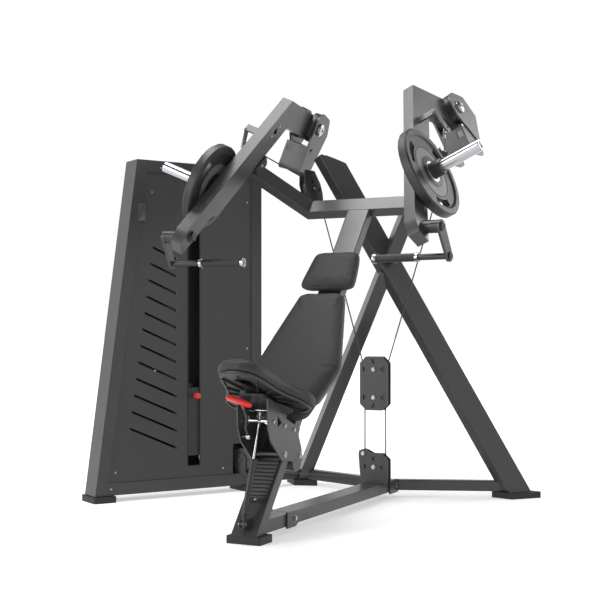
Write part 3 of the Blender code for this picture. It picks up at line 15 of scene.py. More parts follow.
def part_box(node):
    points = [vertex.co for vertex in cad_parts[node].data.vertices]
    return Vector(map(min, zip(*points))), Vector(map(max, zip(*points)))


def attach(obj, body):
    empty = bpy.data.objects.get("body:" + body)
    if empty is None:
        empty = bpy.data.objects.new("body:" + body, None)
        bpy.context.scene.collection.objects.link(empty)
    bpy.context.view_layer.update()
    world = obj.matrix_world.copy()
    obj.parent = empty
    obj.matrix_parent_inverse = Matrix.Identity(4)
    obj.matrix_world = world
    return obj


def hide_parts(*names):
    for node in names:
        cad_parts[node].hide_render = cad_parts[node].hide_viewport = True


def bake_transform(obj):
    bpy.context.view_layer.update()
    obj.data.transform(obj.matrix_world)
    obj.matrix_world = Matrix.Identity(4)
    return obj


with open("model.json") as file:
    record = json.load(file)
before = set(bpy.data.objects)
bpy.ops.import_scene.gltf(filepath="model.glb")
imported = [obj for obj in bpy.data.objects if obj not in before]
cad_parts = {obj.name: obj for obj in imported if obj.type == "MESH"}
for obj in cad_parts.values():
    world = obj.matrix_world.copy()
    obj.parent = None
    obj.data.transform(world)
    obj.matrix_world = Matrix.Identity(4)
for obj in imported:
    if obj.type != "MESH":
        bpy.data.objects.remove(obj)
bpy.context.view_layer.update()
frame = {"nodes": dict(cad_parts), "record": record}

NODES = frame["nodes"]

# ---- layout ---------------------------------------------------------------------------------
RIGHT, UP, FORWARD = Vector((1, 0, 0)), Vector((0, 0, 1)), Vector((0, -1, 0))
SIDES = (("left", 1), ("right", -1))
foot_low, foot_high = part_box("front_foot_pad")
OFFSET = Vector(((foot_low[0] + foot_high[0]) / 2, foot_low[1], 0))

SPINE_LEAN = math.radians(39.4)
SPINE_FOOT = Vector((0, 0.004, 0.036))
SPINE_UP = Vector((0, math.sin(SPINE_LEAN), math.cos(SPINE_LEAN)))
SPINE_OUT = Vector((0, -math.cos(SPINE_LEAN), math.sin(SPINE_LEAN)))

ARM_HUB = Vector((0.350, 1.276, 1.769))
ARM_AXIS = Vector((0.912, -0.090, 0.400)).normalized()
ARM_HALF = 0.025
KNEE, FOLD = Vector((0.337, 0.083)), Vector((0.888, -0.572))
HORN_SPOT, PULL_SPOT = Vector((0.657, -0.386)), Vector((0.391, -0.173))
HANDLE_AXIS = Vector((0.991, -0.134, 0))
BOSS, PIPE_OUT = Vector((0.560, 0.440, 1.186)), Vector((0.634, 0.498, 1.076))
PLATE_LOW, PLATE_THICK, PLATE_RADIUS = 0.0372, 0.040, 0.192
RING_INNER, RING_OUTER, RING_GREY = 0.065, 0.108, (0.085, 0.086, 0.090, 1)

BLOCK_Y, BLOCK_Z, BLOCK_SPREAD, LOW_PULLEY_Z = 1.268, 0.543, 0.065, 0.155
BLOCK_FACE, CHEEK_FACE = 0.0251, 0.0682
GUIDE, GUIDE_REACH = Vector((0.322, 1.250, 1.455)), 0.044
CABLE, REACH = 0.006, 0.052
ANCHOR_PIN = Vector((-REACH, 0, 0.062))
TOWER_CORNER = Vector((-1.111, 0.561, 0))
TOWER_ALONG = Vector((0.512, 0.859, 0)).normalized()
TOWER_BACK = Vector((-0.859, 0.512, 0)).normalized()
TOWER_PULLEY = Vector((-0.7076, 1.268, 0.155))
TOWER_T, ROOF_PULLEY_Z, STACK_T, STACK_TOP, PLATE_PITCH = 0.7872, 1.460, 0.540, 0.515, 0.025
TOWER_DEPTH = (TOWER_PULLEY - RIGHT * REACH - TOWER_CORNER).dot(TOWER_BACK)

SEAT_TIP = Vector((0, -0.088, 0.644))
SEAT_BACK = Vector((0, 0.898, -0.440)).normalized()
SEAT_UP = Vector((0, 0.440, 0.898)).normalized()
SEAT_SIDE = [(0.000, 0.030), (0.012, 0.060), (0.036, 0.084), (0.080, 0.102), (0.140, 0.114),
             (0.200, 0.132), (0.255, 0.162), (0.300, 0.184), (0.335, 0.190), (0.364, 0.182),
             (0.386, 0.156), (0.395, 0.115)]
BACK_SIDE = [(0.492, 0.075), (0.500, 0.100), (0.522, 0.124), (0.600, 0.147), (0.735, 0.188),
             (0.767, 0.191), (0.800, 0.186), (0.960, 0.149), (1.110, 0.114), (1.135, 0.100),
             (1.146, 0.070)]
HEAD_SIDE = [(1.172, 0.080), (1.180, 0.110), (1.200, 0.126), (1.290, 0.119), (1.360, 0.108),
             (1.378, 0.094), (1.385, 0.070)]
GAS_LOW, GAS_HIGH = Vector((0, 0.001, 0.076)), Vector((0, 0.1465, 0.4865))
CARRIAGE_BAR, LEVER_HINGE = Vector((0, 0.118, 0.449)), Vector((-0.030, 0.102, 0.389))
LEVER_GRIP = Vector((0.002, 0.058, 0.510)), Vector((-0.076, 0.018, 0.541))


def flip(vector, side):
    return Vector((vector.x * side, vector.y, vector.z))


def spine_point(along, out=0.0, across=0.0):
    return SPINE_FOOT + SPINE_UP * along + SPINE_OUT * out + RIGHT * across


def arm_axes(side):
    outward = flip(ARM_AXIS, side)
    forward = (FORWARD - outward * outward.dot(FORWARD)).normalized()
    return outward, forward, (forward.cross(outward) * side).normalized()


def arm_point(side, forward, upward, outward=0.0):
    out_axis, fore_axis, up_axis = arm_axes(side)
    return flip(ARM_HUB, side) + fore_axis * forward + up_axis * upward + out_axis * outward


def pull_point(side):
    """Where the press cable's fork hangs on the arm."""
    return arm_point(side, PULL_SPOT.x, PULL_SPOT.y, 0.105)


def arm_along(side):
    """Direction down the arm's lower part, and of the pin through the cable's fork."""
    _, fore_axis, up_axis = arm_axes(side)
    lower = (FOLD - KNEE).normalized()
    return fore_axis * lower.x + up_axis * lower.y


def handle_line(side):
    """Centre of the arm's boss, the place below it where the grip starts, and the grip's direction."""
    boss, swing = flip(BOSS, side), flip(HANDLE_AXIS, side).normalized()
    drop = flip(PIPE_OUT, side) - boss
    return boss, boss + drop - swing * drop.dot(swing), swing


def tower_point(along, back, height):
    return TOWER_CORNER + TOWER_ALONG * along + TOWER_BACK * back + UP * height


def seat_place(along, across, level):
    return SEAT_TIP + SEAT_BACK * along + SEAT_UP * level + RIGHT * across


def back_place(along, across, level):
    return spine_point(along, level, across)


# ---- materials ------------------------------------------------------------------------------
def add_node(tree, kind, settings, values):
    """Adds a node; values holds its inputs, and an input given as another node's output is linked."""
    made = tree.nodes.new(kind)
    for key, value in settings.items():
        setattr(made, key, value)
    for key, value in values.items():
        if isinstance(value, bpy.types.NodeSocket):
            tree.links.new(value, made.inputs[key])
        else:
            made.inputs[key].default_value = value
    return made


def shade(colour, factor):
    return (*[min(1, channel * factor) for channel in colour], 1)


def surface(name, colour, rough, metallic=0.0, mottle=0.12, mottle_size=0.05, grain="noise",
            grain_size=0.001, grain_depth=0.1, rough_range=0.06, edge_highlight=0.0, **sockets):
    """A finish with cloudy tone, uneven gloss, a fine grain in relief and a painted highlight that lightens
    its sharp edges.
    """
    made = bpy.data.materials.new(name)
    made.use_nodes = True
    tree = made.node_tree
    links = tree.links
    shader = tree.nodes["Principled BSDF"]
    shader.inputs["Metallic"].default_value = metallic
    for key, value in sockets.items():
        shader.inputs[key.replace("_", " ")].default_value = value
    place = tree.nodes.new("ShaderNodeTexCoord").outputs["Object"]

    cloud = add_node(tree, "ShaderNodeTexNoise", {}, {"Scale": 1 / mottle_size, "Detail": 5, "Vector": place})
    tone = add_node(tree, "ShaderNodeMix", {"data_type": 'RGBA'},
                    {"A": shade(colour, 1 - mottle), "B": shade(colour, 1 + mottle),
                     "Factor": cloud.outputs["Fac"]})
    last = tone.outputs["Result"]
    # painted highlight: where the mesh is pointy, along its rounded edges, the tone turns lighter as if light
    # caught the edges
    if edge_highlight:
        spot = tree.nodes.new("ShaderNodeNewGeometry")
        ramp = add_node(tree, "ShaderNodeMapRange", {},
                        {"From Min": 0.53, "From Max": 0.66, "Value": spot.outputs["Pointiness"]})
        highlit_edges = add_node(tree, "ShaderNodeMix", {"data_type": 'RGBA'},
                        {"A": last, "B": shade(colour, 1 + edge_highlight), "Factor": ramp.outputs["Result"]})
        last = highlit_edges.outputs["Result"]
    links.new(last, shader.inputs["Base Color"])

    gloss = add_node(tree, "ShaderNodeTexNoise", {},
                     {"Scale": 3.1 / mottle_size, "Detail": 3, "Vector": place})
    spread = add_node(tree, "ShaderNodeMapRange", {},
                      {"To Min": max(0.02, rough - rough_range), "To Max": rough + rough_range,
                       "Value": gloss.outputs["Fac"]})
    links.new(spread.outputs["Result"], shader.inputs["Roughness"])

    if grain == "leather":
        fine = add_node(tree, "ShaderNodeTexVoronoi", {}, {"Scale": 1 / grain_size, "Vector": place})
        height = fine.outputs["Distance"]
    else:
        fine = add_node(tree, "ShaderNodeTexNoise", {},
                        {"Scale": 1 / grain_size, "Detail": 4, "Vector": place})
        height = fine.outputs["Fac"]
    relief = add_node(tree, "ShaderNodeBump", {},
                      {"Strength": grain_depth, "Distance": grain_size, "Height": height})
    links.new(relief.outputs["Normal"], shader.inputs["Normal"])
    return made


FRAME_GREY = (0.030, 0.030, 0.032)
PAINT = surface("powder_coat", FRAME_GREY, 0.34, mottle=0.07, mottle_size=0.12, grain_size=0.0011,
                grain_depth=0.14, edge_highlight=0.45)
PANEL = surface("panel_powder_coat", (0.028, 0.028, 0.030), 0.52, mottle=0.06, mottle_size=0.25,
                grain_size=0.0010, grain_depth=0.14, edge_highlight=0.3)
RUBBER = surface("black_rubber", (0.006, 0.006, 0.0064), 0.58, mottle=0.2, mottle_size=0.03,
                 grain_size=0.0008, grain_depth=0.25, edge_highlight=0.6)
PLASTIC = surface("black_plastic", (0.010, 0.010, 0.0105), 0.42, mottle=0.12, mottle_size=0.04,
                  grain_size=0.0006, grain_depth=0.18, edge_highlight=0.8)
VINYL = surface("black_vinyl", (0.0065, 0.0065, 0.0068), 0.66, mottle=0.10, mottle_size=0.06, grain="leather",
                grain_size=0.0016, grain_depth=0.28, Sheen_Weight=0.02, Sheen_Roughness=0.5)
SIDE_VINYL = surface("side_vinyl", (0.009, 0.009, 0.0095), 0.58, mottle=0.10, mottle_size=0.05,
                     grain="leather", grain_size=0.0018, grain_depth=0.30, Sheen_Weight=0.04,
                     Sheen_Roughness=0.5)
THREAD = surface("welt_cord", (0.010, 0.010, 0.011), 0.60, mottle=0.2, mottle_size=0.01, grain="leather",
                 grain_size=0.0010, grain_depth=0.35)
CHROME = surface("polished_chrome", (0.40, 0.41, 0.43), 0.15, metallic=1.0, mottle=0.03, mottle_size=0.02,
                 grain_size=0.004, grain_depth=0.010, rough_range=0.04)
STEEL = surface("zinc_steel", (0.42, 0.43, 0.45), 0.30, metallic=1.0, mottle=0.10, mottle_size=0.01,
                grain_size=0.0009, grain_depth=0.06, rough_range=0.08)
IRON = surface("stack_iron", (0.020, 0.020, 0.021), 0.55, mottle=0.25, mottle_size=0.03, grain_size=0.0016,
               grain_depth=0.35, edge_highlight=1.2)
RED = surface("red_plastic", (0.52, 0.022, 0.018), 0.34, mottle=0.08, mottle_size=0.03, grain_size=0.0007,
              grain_depth=0.10, edge_highlight=0.25)
NYLON = surface("nylon_wheel", (0.030, 0.030, 0.032), 0.38, mottle=0.12, mottle_size=0.02,
                grain_size=0.0010, grain_depth=0.12, edge_highlight=0.5)
CORD = surface("coated_cable", (0.012, 0.012, 0.013), 0.34, mottle=0.15, mottle_size=0.01,
               grain_size=0.0015, grain_depth=0.20)
BADGE = surface("badge_metal", (0.085, 0.087, 0.092), 0.30, metallic=0.6, mottle=0.08, mottle_size=0.01,
                grain_size=0.0006, grain_depth=0.10)
BY_SLOT = {"frame_paint": PAINT, "panel_paint": PANEL, "rubber": RUBBER, "upholstery": VINYL,
           "black_plastic": PLASTIC, "chrome": CHROME, "zinc_steel": STEEL, "red_plastic": RED,
           "stack_iron": IRON, "plate_rubber": RUBBER, "cable_black": CORD}
SLOT_OF = {finish.name: slot for slot, finish in BY_SLOT.items()}


def plate_material(side_name, side):
    """Rubber-coated iron with a paler printed ring round the hub, placed by distance from the axle."""
    made = surface("plate_coating_" + side_name, (0.0075, 0.0075, 0.008), 0.46, mottle=0.15, mottle_size=0.05,
                   grain_size=0.0012, grain_depth=0.28, edge_highlight=0.7)
    tree = made.node_tree
    colour = tree.nodes["Principled BSDF"].inputs["Base Color"]
    place = tree.nodes.new("ShaderNodeTexCoord")
    shift = add_node(tree, "ShaderNodeVectorMath", {"operation": 'SUBTRACT'},
                     {0: place.outputs["Object"], 1: arm_point(side, HORN_SPOT.x, HORN_SPOT.y) + OFFSET})
    square = add_node(tree, "ShaderNodeVectorMath", {"operation": 'CROSS_PRODUCT'},
                      {0: shift.outputs["Vector"], 1: arm_axes(side)[0]})
    reach = add_node(tree, "ShaderNodeVectorMath", {"operation": 'LENGTH'}, {0: square.outputs["Vector"]})
    scale = add_node(tree, "ShaderNodeMath", {"operation": 'MULTIPLY'},
                     {0: reach.outputs["Value"], 1: 1 / PLATE_RADIUS})
    bands = add_node(tree, "ShaderNodeValToRGB", {}, {"Fac": scale.outputs["Value"]})
    ramp = bands.color_ramp
    ramp.interpolation = 'CONSTANT'
    ramp.elements[0].color = (0, 0, 0, 1)
    ramp.elements[1].position = RING_INNER / PLATE_RADIUS
    ramp.elements[1].color = (1, 1, 1, 1)
    ramp.elements.new(RING_OUTER / PLATE_RADIUS).color = (0, 0, 0, 1)
    ring = add_node(tree, "ShaderNodeMix", {"data_type": 'RGBA'},
                    {"A": colour.links[0].from_socket, "B": RING_GREY, "Factor": bands.outputs["Color"]})
    tree.links.new(ring.outputs["Result"], colour)
    return made


# ---- mesh tools -------------------------------------------------------------------------------
def smooth(mesh, angle=35):
    for face in mesh.polygons:
        face.use_smooth = True
    mesh.set_sharp_from_angle(angle=math.radians(angle))


def piece(name, shape, material, body=None, slot=None, angle=35):
    """Turns a bmesh in the layout into an object in the scene; the slot argument is not used."""
    bmesh.ops.remove_doubles(shape, verts=shape.verts[:], dist=1e-6)
    bmesh.ops.recalc_face_normals(shape, faces=shape.faces[:])
    bmesh.ops.translate(shape, verts=shape.verts[:], vec=OFFSET)
    mesh = bpy.data.meshes.new(name)
    shape.to_mesh(mesh)
    shape.free()
    smooth(mesh, angle)
    mesh.materials.append(material)
    made = bpy.data.objects.new(name, mesh)
    bpy.context.scene.collection.objects.link(made)
    if body:
        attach(made, body)
    slot or SLOT_OF[material.name]
    return made


def frame_of(axis):
    """Two directions square to an axis and to each other."""
    axis = axis.normalized()
    hint = RIGHT if abs(axis.dot(UP)) > 0.95 else UP
    first = (hint - axis * hint.dot(axis)).normalized()
    return first, axis.cross(first)


def bridge(shape, low, high):
    """Joins two closed rings of vertices with a band of faces."""
    for k in range(len(low)):
        n = (k + 1) % len(low)
        shape.faces.new((low[k], low[n], high[n], high[k]))


def circle(shape, centre, first, second, radius, count):
    angles = [math.tau * k / count for k in range(count)]
    return [shape.verts.new(centre + first * (radius * math.cos(angle)) + second * (radius * math.sin(angle)))
            for angle in angles]


def lathe(shape, profile, origin, axis, count=24, radius_at=None):
    """Adds a turned body: profile holds (radius, height) pairs, closed on the axis where radius is 0."""
    first, second = frame_of(axis)
    axis = axis.normalized()
    rings = []
    for index, (radius, height) in enumerate(profile):
        if radius == 0:
            rings.append([shape.verts.new(origin + axis * height)])
            continue
        ring = []
        for k in range(count):
            angle = math.tau * k / count
            here = radius_at(index, radius, angle) if radius_at else radius
            ring.append(shape.verts.new(origin + axis * height + first * (here * math.cos(angle))
                                        + second * (here * math.sin(angle))))
        rings.append(ring)
    for low, high in zip(rings, rings[1:]):
        if len(low) == 1 and len(high) == 1:
            continue
        for k in range(count):
            n = (k + 1) % count
            corners = [low[0]] if len(low) == 1 else [low[k], low[n]]
            corners += [high[0]] if len(high) == 1 else [high[n], high[k]]
            shape.faces.new(corners)


def prism(shape, outline, origin, u_axis, v_axis, low, high, bevel=0.0):
    """Adds an outline pushed out along u x v, with its long edges and rims rounded."""
    axis = u_axis.cross(v_axis)
    part = bmesh.new()
    rings = [[part.verts.new(origin + u_axis * x + v_axis * y + axis * level) for x, y in outline]
             for level in (low, high)]
    part.faces.new(rings[0][::-1])
    part.faces.new(rings[1])
    bridge(part, *rings)
    if bevel:
        bmesh.ops.bevel(part, geom=part.edges[:], offset=bevel, segments=2, affect='EDGES', profile=0.5,
                        clamp_overlap=True)
    join(shape, part)


def join(shape, part):
    lookup = {vert: shape.verts.new(vert.co) for vert in part.verts}
    for face in part.faces:
        shape.faces.new([lookup[vert] for vert in face.verts])
    part.free()


def tube(shape, points, radius, count=12):
    """Adds a capped round tube along a route."""
    points = [Vector(p) for p in points]
    side = frame_of(points[1] - points[0])[0]
    rings = []
    for k, point in enumerate(points):
        before, after = points[max(k - 1, 0)], points[min(k + 1, len(points) - 1)]
        along = (after - before).normalized()
        side = (side - along * side.dot(along)).normalized()
        rings.append(circle(shape, point, side, along.cross(side), radius, count))
    for low, high in zip(rings, rings[1:]):
        bridge(shape, low, high)
    shape.faces.new(rings[0][::-1])
    shape.faces.new(rings[-1])


def hex_radius(flat_rows):
    """Radius rule for lathe(): the named rows of the profile are hexagons of that size across corners."""
    def rule(index, radius, angle):
        if index not in flat_rows:
            return radius
        turn = (angle + math.pi / 6) % (math.pi / 3) - math.pi / 6
        return radius * math.cos(math.pi / 6) / math.cos(turn)
    return rule


def cross_socket(index, radius, angle):
    return radius * 0.45 if index in (5, 6) and math.cos(4 * angle) <= 0 else radius


def five_lobes(index, radius, angle):
    return radius * (1 + 0.10 * math.cos(5 * angle)) if index in (3, 4, 5) else radius


def turned_head(rows, count, radius_at):
    """Maker of a fastener's head: rows holds shares of its radius and height, from the foot up."""
    def build(shape, spot, axis, radius, height):
        lathe(shape, [(radius * r, height * h) for r, h in rows], spot, axis, count, radius_at)
    return build


# a round head with a washer and a hexagon socket
socket_bolt = turned_head(
    ((0, 0), (1, 0), (1, 0.175), (0.95, 0.25), (0.78, 0.25), (0.78, 0.55), (0.7332, 0.80), (0.624, 0.94),
     (0.468, 1), (0.39, 0.97), (0.39, 0.45), (0, 0.45)), 24, hex_radius((9, 10)))
# a wide domed cap with a small hexagon socket
dome_bolt = turned_head(
    ((0, 0), (1, 0), (1, 0.16), (0.955, 0.30), (0.87, 0.52), (0.74, 0.74), (0.58, 0.90), (0.42, 0.98),
     (0.31, 1.0), (0.27, 0.96), (0.27, 0.55), (0, 0.55)), 36, hex_radius((9, 10)))
# a hexagon head on a washer, with a crowned top
hex_bolt = turned_head(
    ((0, 0), (1, 0), (1, 0.154), (0.96, 0.22), (0.86, 0.22), (0.86, 0.85), (0.774, 1), (0, 1)), 24,
    hex_radius((4, 5)))
# a small domed screw with a cross-shaped socket
cap_screw = turned_head(
    ((0, 0), (1, 0), (1, 0.3), (0.86, 0.8), (0.62, 1), (0.55, 1), (0.50, 0.4), (0, 0.35)), 16, cross_socket)
# a flanged nut with a lobed crown and a dished middle
star_bolt = turned_head(
    ((0, 0), (1, 0), (1, 0.25), (0.82, 0.30), (0.80, 0.80), (0.62, 1), (0.34, 1), (0.30, 0.70), (0, 0.70)),
    40, five_lobes)


def mesh_tree(mesh):
    return BVHTree.FromPolygons([v.co for v in mesh.vertices], [p.vertices for p in mesh.polygons])


def surface_spot(name, start, way):
    """Where a line from a point in the frame leaves a CAD node, in the layout, with the normal there."""
    spot, normal, _, _ = mesh_tree(NODES[name].data).ray_cast(Vector(start), way)
    return spot - OFFSET, normal


def grouped(name, builder, spots, material, body):
    """One object holding several fasteners of one kind; spots holds (place, axis, radius, height)."""
    shape = bmesh.new()
    for place, axis, radius, height in spots:
        builder(shape, place, axis, radius, height)
    return piece(name, shape, material, body)


# ---- CAD nodes: finishes and rounded edges --------------------------------------------------
def crisp_edges(limit):
    """Geometry nodes that shade a mesh smooth except across edges sharper than a limit."""
    group = bpy.data.node_groups.new("crisp_edges", 'GeometryNodeTree')
    for way in ('INPUT', 'OUTPUT'):
        group.interface.new_socket("Geometry", in_out=way, socket_type='NodeSocketGeometry')
    start = group.nodes.new("NodeGroupInput")
    faces = add_node(group, "GeometryNodeSetShadeSmooth", {}, {"Geometry": start.outputs["Geometry"]})
    turn = group.nodes.new("GeometryNodeInputMeshEdgeAngle")
    gentle = add_node(group, "FunctionNodeCompare", {"operation": 'LESS_THAN'},
                      {"A": turn.outputs["Unsigned Angle"], "B": math.radians(limit)})
    edges = add_node(group, "GeometryNodeSetShadeSmooth", {"domain": 'EDGE'},
                     {"Geometry": faces.outputs["Geometry"], "Shade Smooth": gentle.outputs["Result"]})
    add_node(group, "NodeGroupOutput", {}, {"Geometry": edges.outputs["Geometry"]})
    return group


CRISP = crisp_edges(50)


def finish_node(name, choices=None, rule=None, bevel=0.0, angle=35):
    """Gives a CAD node its finish, optionally by region, and rounds its sharp edges."""
    node = NODES[name]
    mesh = node.data
    slots = {row["node"]: row["material_slot"] for row in frame["record"]["subparts"]}
    finishes = choices or [BY_SLOT[slots[name]]]
    mesh.materials.clear()
    for finish in finishes:
        mesh.materials.append(finish)
    for face in mesh.polygons:
        face.material_index = rule(face.center - OFFSET) if rule else 0
    smooth(mesh, angle)
    join_edges = node.modifiers.new("joined", 'WELD')
    join_edges.merge_threshold = 0.00002
    if bevel:
        rounder = node.modifiers.new("rounded", 'BEVEL')
        rounder.width = bevel
        rounder.segments = 2
        rounder.limit_method = 'ANGLE'
        rounder.angle_limit = math.radians(38)
    crisp = node.modifiers.new("crisp", 'NODES')
    crisp.node_group = CRISP
    even = node.modifiers.new("even", 'WEIGHTED_NORMAL')
    even.weight = 90
    even.keep_sharp = True


def axis_distance(point, origin, axis):
    away = point - origin
    height = away.dot(axis)
    return (away - axis * height).length, height


def finish_arm(side_name, side):
    hub, axis = flip(ARM_HUB, side), arm_axes(side)[0]
    boss, _, swing = handle_line(side)
    pull = pull_point(side)

    def rule(point):
        reach, height = axis_distance(point, hub, axis)
        if reach < 0.0725 and abs(height) > ARM_HALF - 0.001:
            return 1
        reach, height = axis_distance(point, boss, swing)
        if reach < 0.0262 and abs(height) > 0.030:
            return 1
        if (point - pull).length < 0.030:
            return 2
        return 0
    finish_node("press_arm_" + side_name, [PAINT, PLASTIC, CHROME], rule, 0.0018)


def finish_handle(side_name, side):
    _, foot, axis = handle_line(side)

    def link_rule(point):
        reach, height = axis_distance(point, foot, axis)
        return 1 if reach < 0.0130 and height < 0.052 else 0

    def grip_rule(point):
        _, height = axis_distance(point, foot, axis)
        return 1 if height > -0.0848 or height < -0.2625 else 0
    finish_node("handle_link_" + side_name, [PAINT, PLASTIC], link_rule, 0.0014)
    finish_node("handle_grip_" + side_name, [RUBBER, CHROME], grip_rule, 0.0006)


def finish_plate(side_name, side):
    spot, axis = arm_point(side, HORN_SPOT.x, HORN_SPOT.y), arm_axes(side)[0]

    def rule(point):
        reach, height = axis_distance(point, spot, axis)
        return 1 if reach < 0.036 and height > PLATE_LOW + PLATE_THICK - 0.004 else 0
    finish_node("weight_plate_" + side_name, [plate_material(side_name, side), PLASTIC], rule, 0.0012, 30)


def finish_carriage():
    def rule(point):
        for origin, radius in ((CARRIAGE_BAR, 0.0068), (GAS_HIGH, 0.0048)):
            reach, height = axis_distance(point, origin, RIGHT)
            if reach < radius and abs(height) < 0.0615:
                return 1
        return 0
    finish_node("seat_carriage", [PAINT, CHROME], rule, 0.0012)


def finish_lever():
    start, end = LEVER_GRIP
    reach = (end - start).normalized()

    def rule(point):
        if (point - start).dot(reach) > -0.001 and point.z > 0.500:
            return 1
        return 2 if (point - LEVER_HINGE).length < 0.0125 else 0
    finish_node("release_lever", [PLASTIC, RED, STEEL], rule, 0.0008)


def finish_pin():
    spot = tower_point(STACK_T, 0, STACK_TOP - 0.0375)

    def rule(point):
        return 0 if axis_distance(point, spot, TOWER_BACK)[1] < -0.0122 else 1
    finish_node("selector_pin", [RED, STEEL], rule, 0.0008)


def finish_block(name, centres):
    def rule(point):
        for centre in centres:
            if axis_distance(point, centre, FORWARD)[0] < 0.0125:
                return 1
        return 0
    finish_node(name, [PAINT, STEEL], rule, 0.0010)


def finish_cad():
    """Every CAD node: first those with finishes by region, then the others."""
    for side_name, side in SIDES:
        finish_arm(side_name, side)
        finish_handle(side_name, side)
        finish_plate(side_name, side)
    finish_carriage()
    finish_lever()
    finish_pin()
    middle = Vector((0, BLOCK_Y, BLOCK_Z))
    finish_block("floating_block", [middle + UP * BLOCK_SPREAD, middle - UP * BLOCK_SPREAD])
    low = Vector((0, BLOCK_Y, LOW_PULLEY_Z))
    finish_block("base_pulley_block", [low, low + ANCHOR_PIN])
    bevels = {"spine_tube": 0.0015, "crossbar": 0.0010, "tower_frame": 0.0015, "base_frame": 0.0015,
              "x_tube": 0.0020, "pivot_bracket": 0.0016, "base_bracket": 0.0012, "guide_bracket": 0.0008,
              "foot_pad": 0.0030, "arm_stop": 0.0030, "plate_horn": 0.0010, "backrest_shell": 0.0020,
              "spine_cover": 0.0006, "stack_": 0.0008, "tower_front_panel": 0.0005,
              "tower_back_panel": 0.0010, "pivot_pin": 0.0010, "gas_": 0.0005}
    for name in NODES:
        if "joined" in NODES[name].modifiers:
            continue
        bevel = next((size for word, size in bevels.items() if word in name and name != "stack_cable"), 0)
        choices = [NYLON] if "pulley" in name else [PLASTIC] if "guide_bracket" in name else None
        finish_node(name, choices, None, bevel)


# ---- cushions ---------------------------------------------------------------------------------
def smooth_side(side, count=44):
    """The right-hand half outline of a pad, rounded through its corner points."""
    points = [Vector(p) for p in side]
    points = [points[0] * 2 - points[1]] + points + [points[-1] * 2 - points[-2]]
    made = []
    spans = len(points) - 3
    for k in range(count + 1):
        place = spans * k / count
        i = min(int(place), spans - 1)
        t = place - i
        p0, p1, p2, p3 = points[i:i + 4]
        made.append(0.5 * (2 * p1 + (p2 - p0) * t + (2 * p0 - 5 * p1 + 4 * p2 - p3) * t * t
                           + (3 * p1 - p0 - 3 * p2 + p3) * t ** 3))
    return made


def pad_ring(side, level, squeeze, place):
    middle = (side[0][0] + side[-1][0]) / 2
    half_long = (side[-1][0] - side[0][0]) / 2
    scale = 1 - squeeze / half_long
    right = [(middle + (a - middle) * scale, b - squeeze * min(1, b / 0.05)) for a, b in side]
    return [place(a, b, level) for a, b in right] + [place(a, -b, level) for a, b in reversed(right)]


def loft(shape, rings):
    made = [[shape.verts.new(point) for point in ring] for ring in rings]
    shape.faces.new(made[0][::-1])
    shape.faces.new(made[-1])
    for low, high in zip(made, made[1:]):
        bridge(shape, low, high)


def applied(item):
    graph = bpy.context.evaluated_depsgraph_get()
    mesh = bpy.data.meshes.new_from_object(item.evaluated_get(graph), depsgraph=graph)
    item.modifiers.clear()
    item.data = mesh


VOXEL, HELD_DEPTH, CLOTH_STEPS = 0.0055, 0.012, 20
CLOTH = {"quality": 5, "mass": 0.3, "tension_stiffness": 18, "compression_stiffness": 18,
         "shear_stiffness": 10, "bending_stiffness": 1.2, "use_pressure": True,
         "uniform_pressure_force": 4.0, "vertex_group_mass": "held"}


def inflate(item, up, floor_level, limit):
    """Remeshes a pad, swells it as sewn cloth over its fixed underside, and limits the swelling."""
    remesh = item.modifiers.new("remesh", 'REMESH')
    remesh.mode = 'VOXEL'
    remesh.voxel_size = VOXEL
    applied(item)
    rest = [vert.co.copy() for vert in item.data.vertices]
    held = item.vertex_groups.new(name="held")
    for vert in item.data.vertices:
        if vert.co.dot(up) - floor_level < HELD_DEPTH:
            held.add([vert.index], 1.0, 'REPLACE')
    cloth = item.modifiers.new("cloth", 'CLOTH')
    for key, value in CLOTH.items():
        setattr(cloth.settings, key, value)
    cloth.settings.effector_weights.gravity = 0
    cloth.collision_settings.use_collision = False
    scene = bpy.context.scene
    for step in range(1, CLOTH_STEPS + 1):
        scene.frame_set(step)
    graph = bpy.context.evaluated_depsgraph_get()
    swollen = [vert.co.copy() for vert in item.evaluated_get(graph).data.vertices]
    item.modifiers.clear()
    scene.frame_set(1)
    for vert, start, end in zip(item.data.vertices, rest, swollen):
        move = end - start
        if move.length > 1e-9:
            move *= limit / (limit + move.length)
        vert.co = start + move
    item.vertex_groups.clear()
    rounder = item.modifiers.new("relaxed", 'SMOOTH')
    rounder.factor = 0.5
    rounder.iterations = 4
    finer = item.modifiers.new("finer", 'SUBSURF')
    finer.levels = finer.render_levels = 1
    applied(item)


def sew(item, ring, depth, width):
    """Pulls the cover in along a closed seam, and returns the seam's path on the finished cover."""
    mesh = item.data
    tree = mesh_tree(mesh)
    path = [tree.find_nearest(point + OFFSET)[0] for point in ring]
    dense = []
    for a, b in zip(path, path[1:] + path[:1]):
        steps = max(1, int((b - a).length / (width * 0.5)))
        dense += [a.lerp(b, k / steps) for k in range(steps)]
    from_path = BVHTree.FromPolygons(dense, [(k, (k + 1) % len(dense), k) for k in range(len(dense))])
    normals = [v.normal.copy() for v in mesh.vertices]
    for vert, normal in zip(mesh.vertices, normals):
        _, _, _, away = from_path.find_nearest(vert.co, width * 2)
        if away is not None and away < width * 2:
            vert.co -= normal * depth * math.exp(-(away / width) ** 2 * 2)
    tree = mesh_tree(mesh)
    return [tree.find_nearest(point)[:2] for point in dense[::2]]


